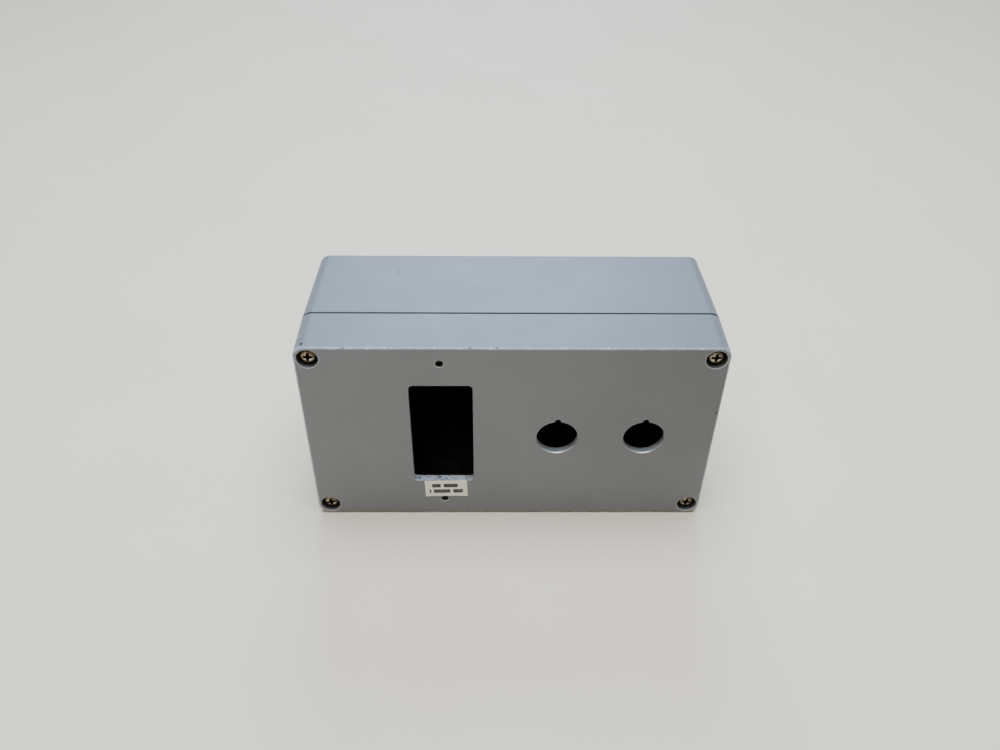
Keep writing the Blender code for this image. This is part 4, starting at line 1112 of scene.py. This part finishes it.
def make_terminal_screws():
    """Cheese-head screws with a slot and a chamfered rim."""
    seat = TERMINAL_SEAT_Y
    shape = ((1.15, 9.6), (1.3, 9.2), (1.3, 0), (2.55, 0), (2.7, -0.15))
    shape += ((2.7, -1.9), (2.6, -2.12), (2.35, -2.27), (1.2, -2.3))
    profile = [(radius * MM, seat + along * MM) for radius, along in shape]
    for row, up in ROWS:
        z = MID_Z + up * TERMINAL_Z
        for name, x in COLUMNS:
            screw = make_object(turned(profile, x, z, None, 40), f"slotted_screw_{name}_{row}", STEEL)
            slot = rectangle(x - 3 * MM, x + 3 * MM, z - 0.4 * MM, z + 0.4 * MM)
            carve(screw, (CUT, prism(slot, seat - 3 * MM, seat - 1.2 * MM), STEEL))
            stand_for(screw, f"terminal_screw_{name}_{row}")


def make_inside():
    refine("mounting_rail", RAIL_STEEL, edge=0.3 * MM)
    shank = (SMALL_SCREW_RADIUS, SMALL_SCREW_PITCH)
    for side, x in (("left", -RAIL_SCREW_X), ("right", RAIL_SCREW_X)):
        make_screw(
            f"pan_screw_{side}", (x, 37.7 * MM, MID_Z), SMALL_SCREW_TIP_Y, (4.2 * MM, 2.6 * MM), shank,
            20, f"rail_screw_{side}", "enclosure", ZINC,
        )
    make_screw(
        "earth_stud", (EARTH_X, 35.7 * MM, EARTH_Z), SMALL_SCREW_TIP_Y, (4 * MM, 3 * MM), shank,
        33, "earth_screw", "enclosure", BRASS,
    )
    refine("earth_washer", STEEL, edge=0.15 * MM)
    refine("contactor_housing", DARK_PLASTIC)
    make_cover()
    refine("fixed_core", LAMINATED, edge=0.15 * MM)
    refine("armature", LAMINATED, edge=0.15 * MM, body="contact_carrier")
    refine("coil_bobbin", NYLON, edge=0.15 * MM)
    make_winding()
    refine("contact_carrier", DARK_PLASTIC, body="contact_carrier")
    refine("rail_clip", PALE_PLASTIC, body="rail_clip")
    for row in ("upper", "lower"):
        refine(f"coil_terminal_{row}", BRASS, edge=0.12 * MM)
    make_contacts()
    make_terminal_screws()
    make_springs()


# ---- floor, light and camera


def make_floor():
    bm = bmesh.new()
    bmesh.ops.create_grid(bm, x_segments=8, y_segments=8, size=4)
    bmesh.ops.translate(bm, verts=bm.verts, vec=(0, 0, -0.1 * MM))
    make_object(bm, "floor", FLOOR)


def area_light(name, location, target, size, energy, colour):
    data = bpy.data.lights.new(name, "AREA")
    data.shape = "RECTANGLE"
    data.size, data.size_y = size
    data.energy = energy
    data.color = colour
    light = add(name, data)
    light.location = location
    light.rotation_euler = (Vector(target) - Vector(location)).to_track_quat("-Z", "Y").to_euler()


def make_lights():
    area_light("ceiling", (-0.02, 0.0, 1.7), (0, 0, 0), (1.1, 1.4), 49, (0.75, 0.87, 1.0))
    area_light("back_panel", (0, 1.7, 1.4), (0, 0, 0.1), (1.0, 1.0), 34, (0.58, 0.78, 1.0))
    area_light("front_strip", (-0.4, -1.25, 1.65), (0, 0, 0.05), (1.4, 0.35), 4.0, (1.0, 0.90, 0.78))
    world = bpy.data.worlds.new("studio")
    world.use_nodes = True
    background = world.node_tree.nodes["Background"]
    background.inputs["Color"].default_value = (1.0, 0.89, 0.74, 1)
    background.inputs["Strength"].default_value = 0.14
    bpy.context.scene.world = world


def make_camera():
    """Looks along +Y and down, turned by small yaw and roll angles."""
    pitch, yaw, roll = radians(38.88), radians(0.98), radians(0.73)
    data = bpy.data.cameras.new("camera")
    data.lens = 30.78
    data.sensor_width = 36
    data.clip_start = 0.01
    camera = add("camera", data)
    aim = Matrix.Rotation(-yaw, 4, "Z") @ Matrix.Rotation(pi / 2 - pitch, 4, "X")
    aim = aim @ Matrix.Rotation(roll, 4, "Z")
    camera.matrix_world = Matrix.Translation((-0.0120, -0.3819, 0.3745)) @ aim
    bpy.context.scene.camera = camera


make_camera()
make_lights()
make_floor()
make_lid()
make_base()
make_seal()
make_lid_screws()
make_label()
make_inside()
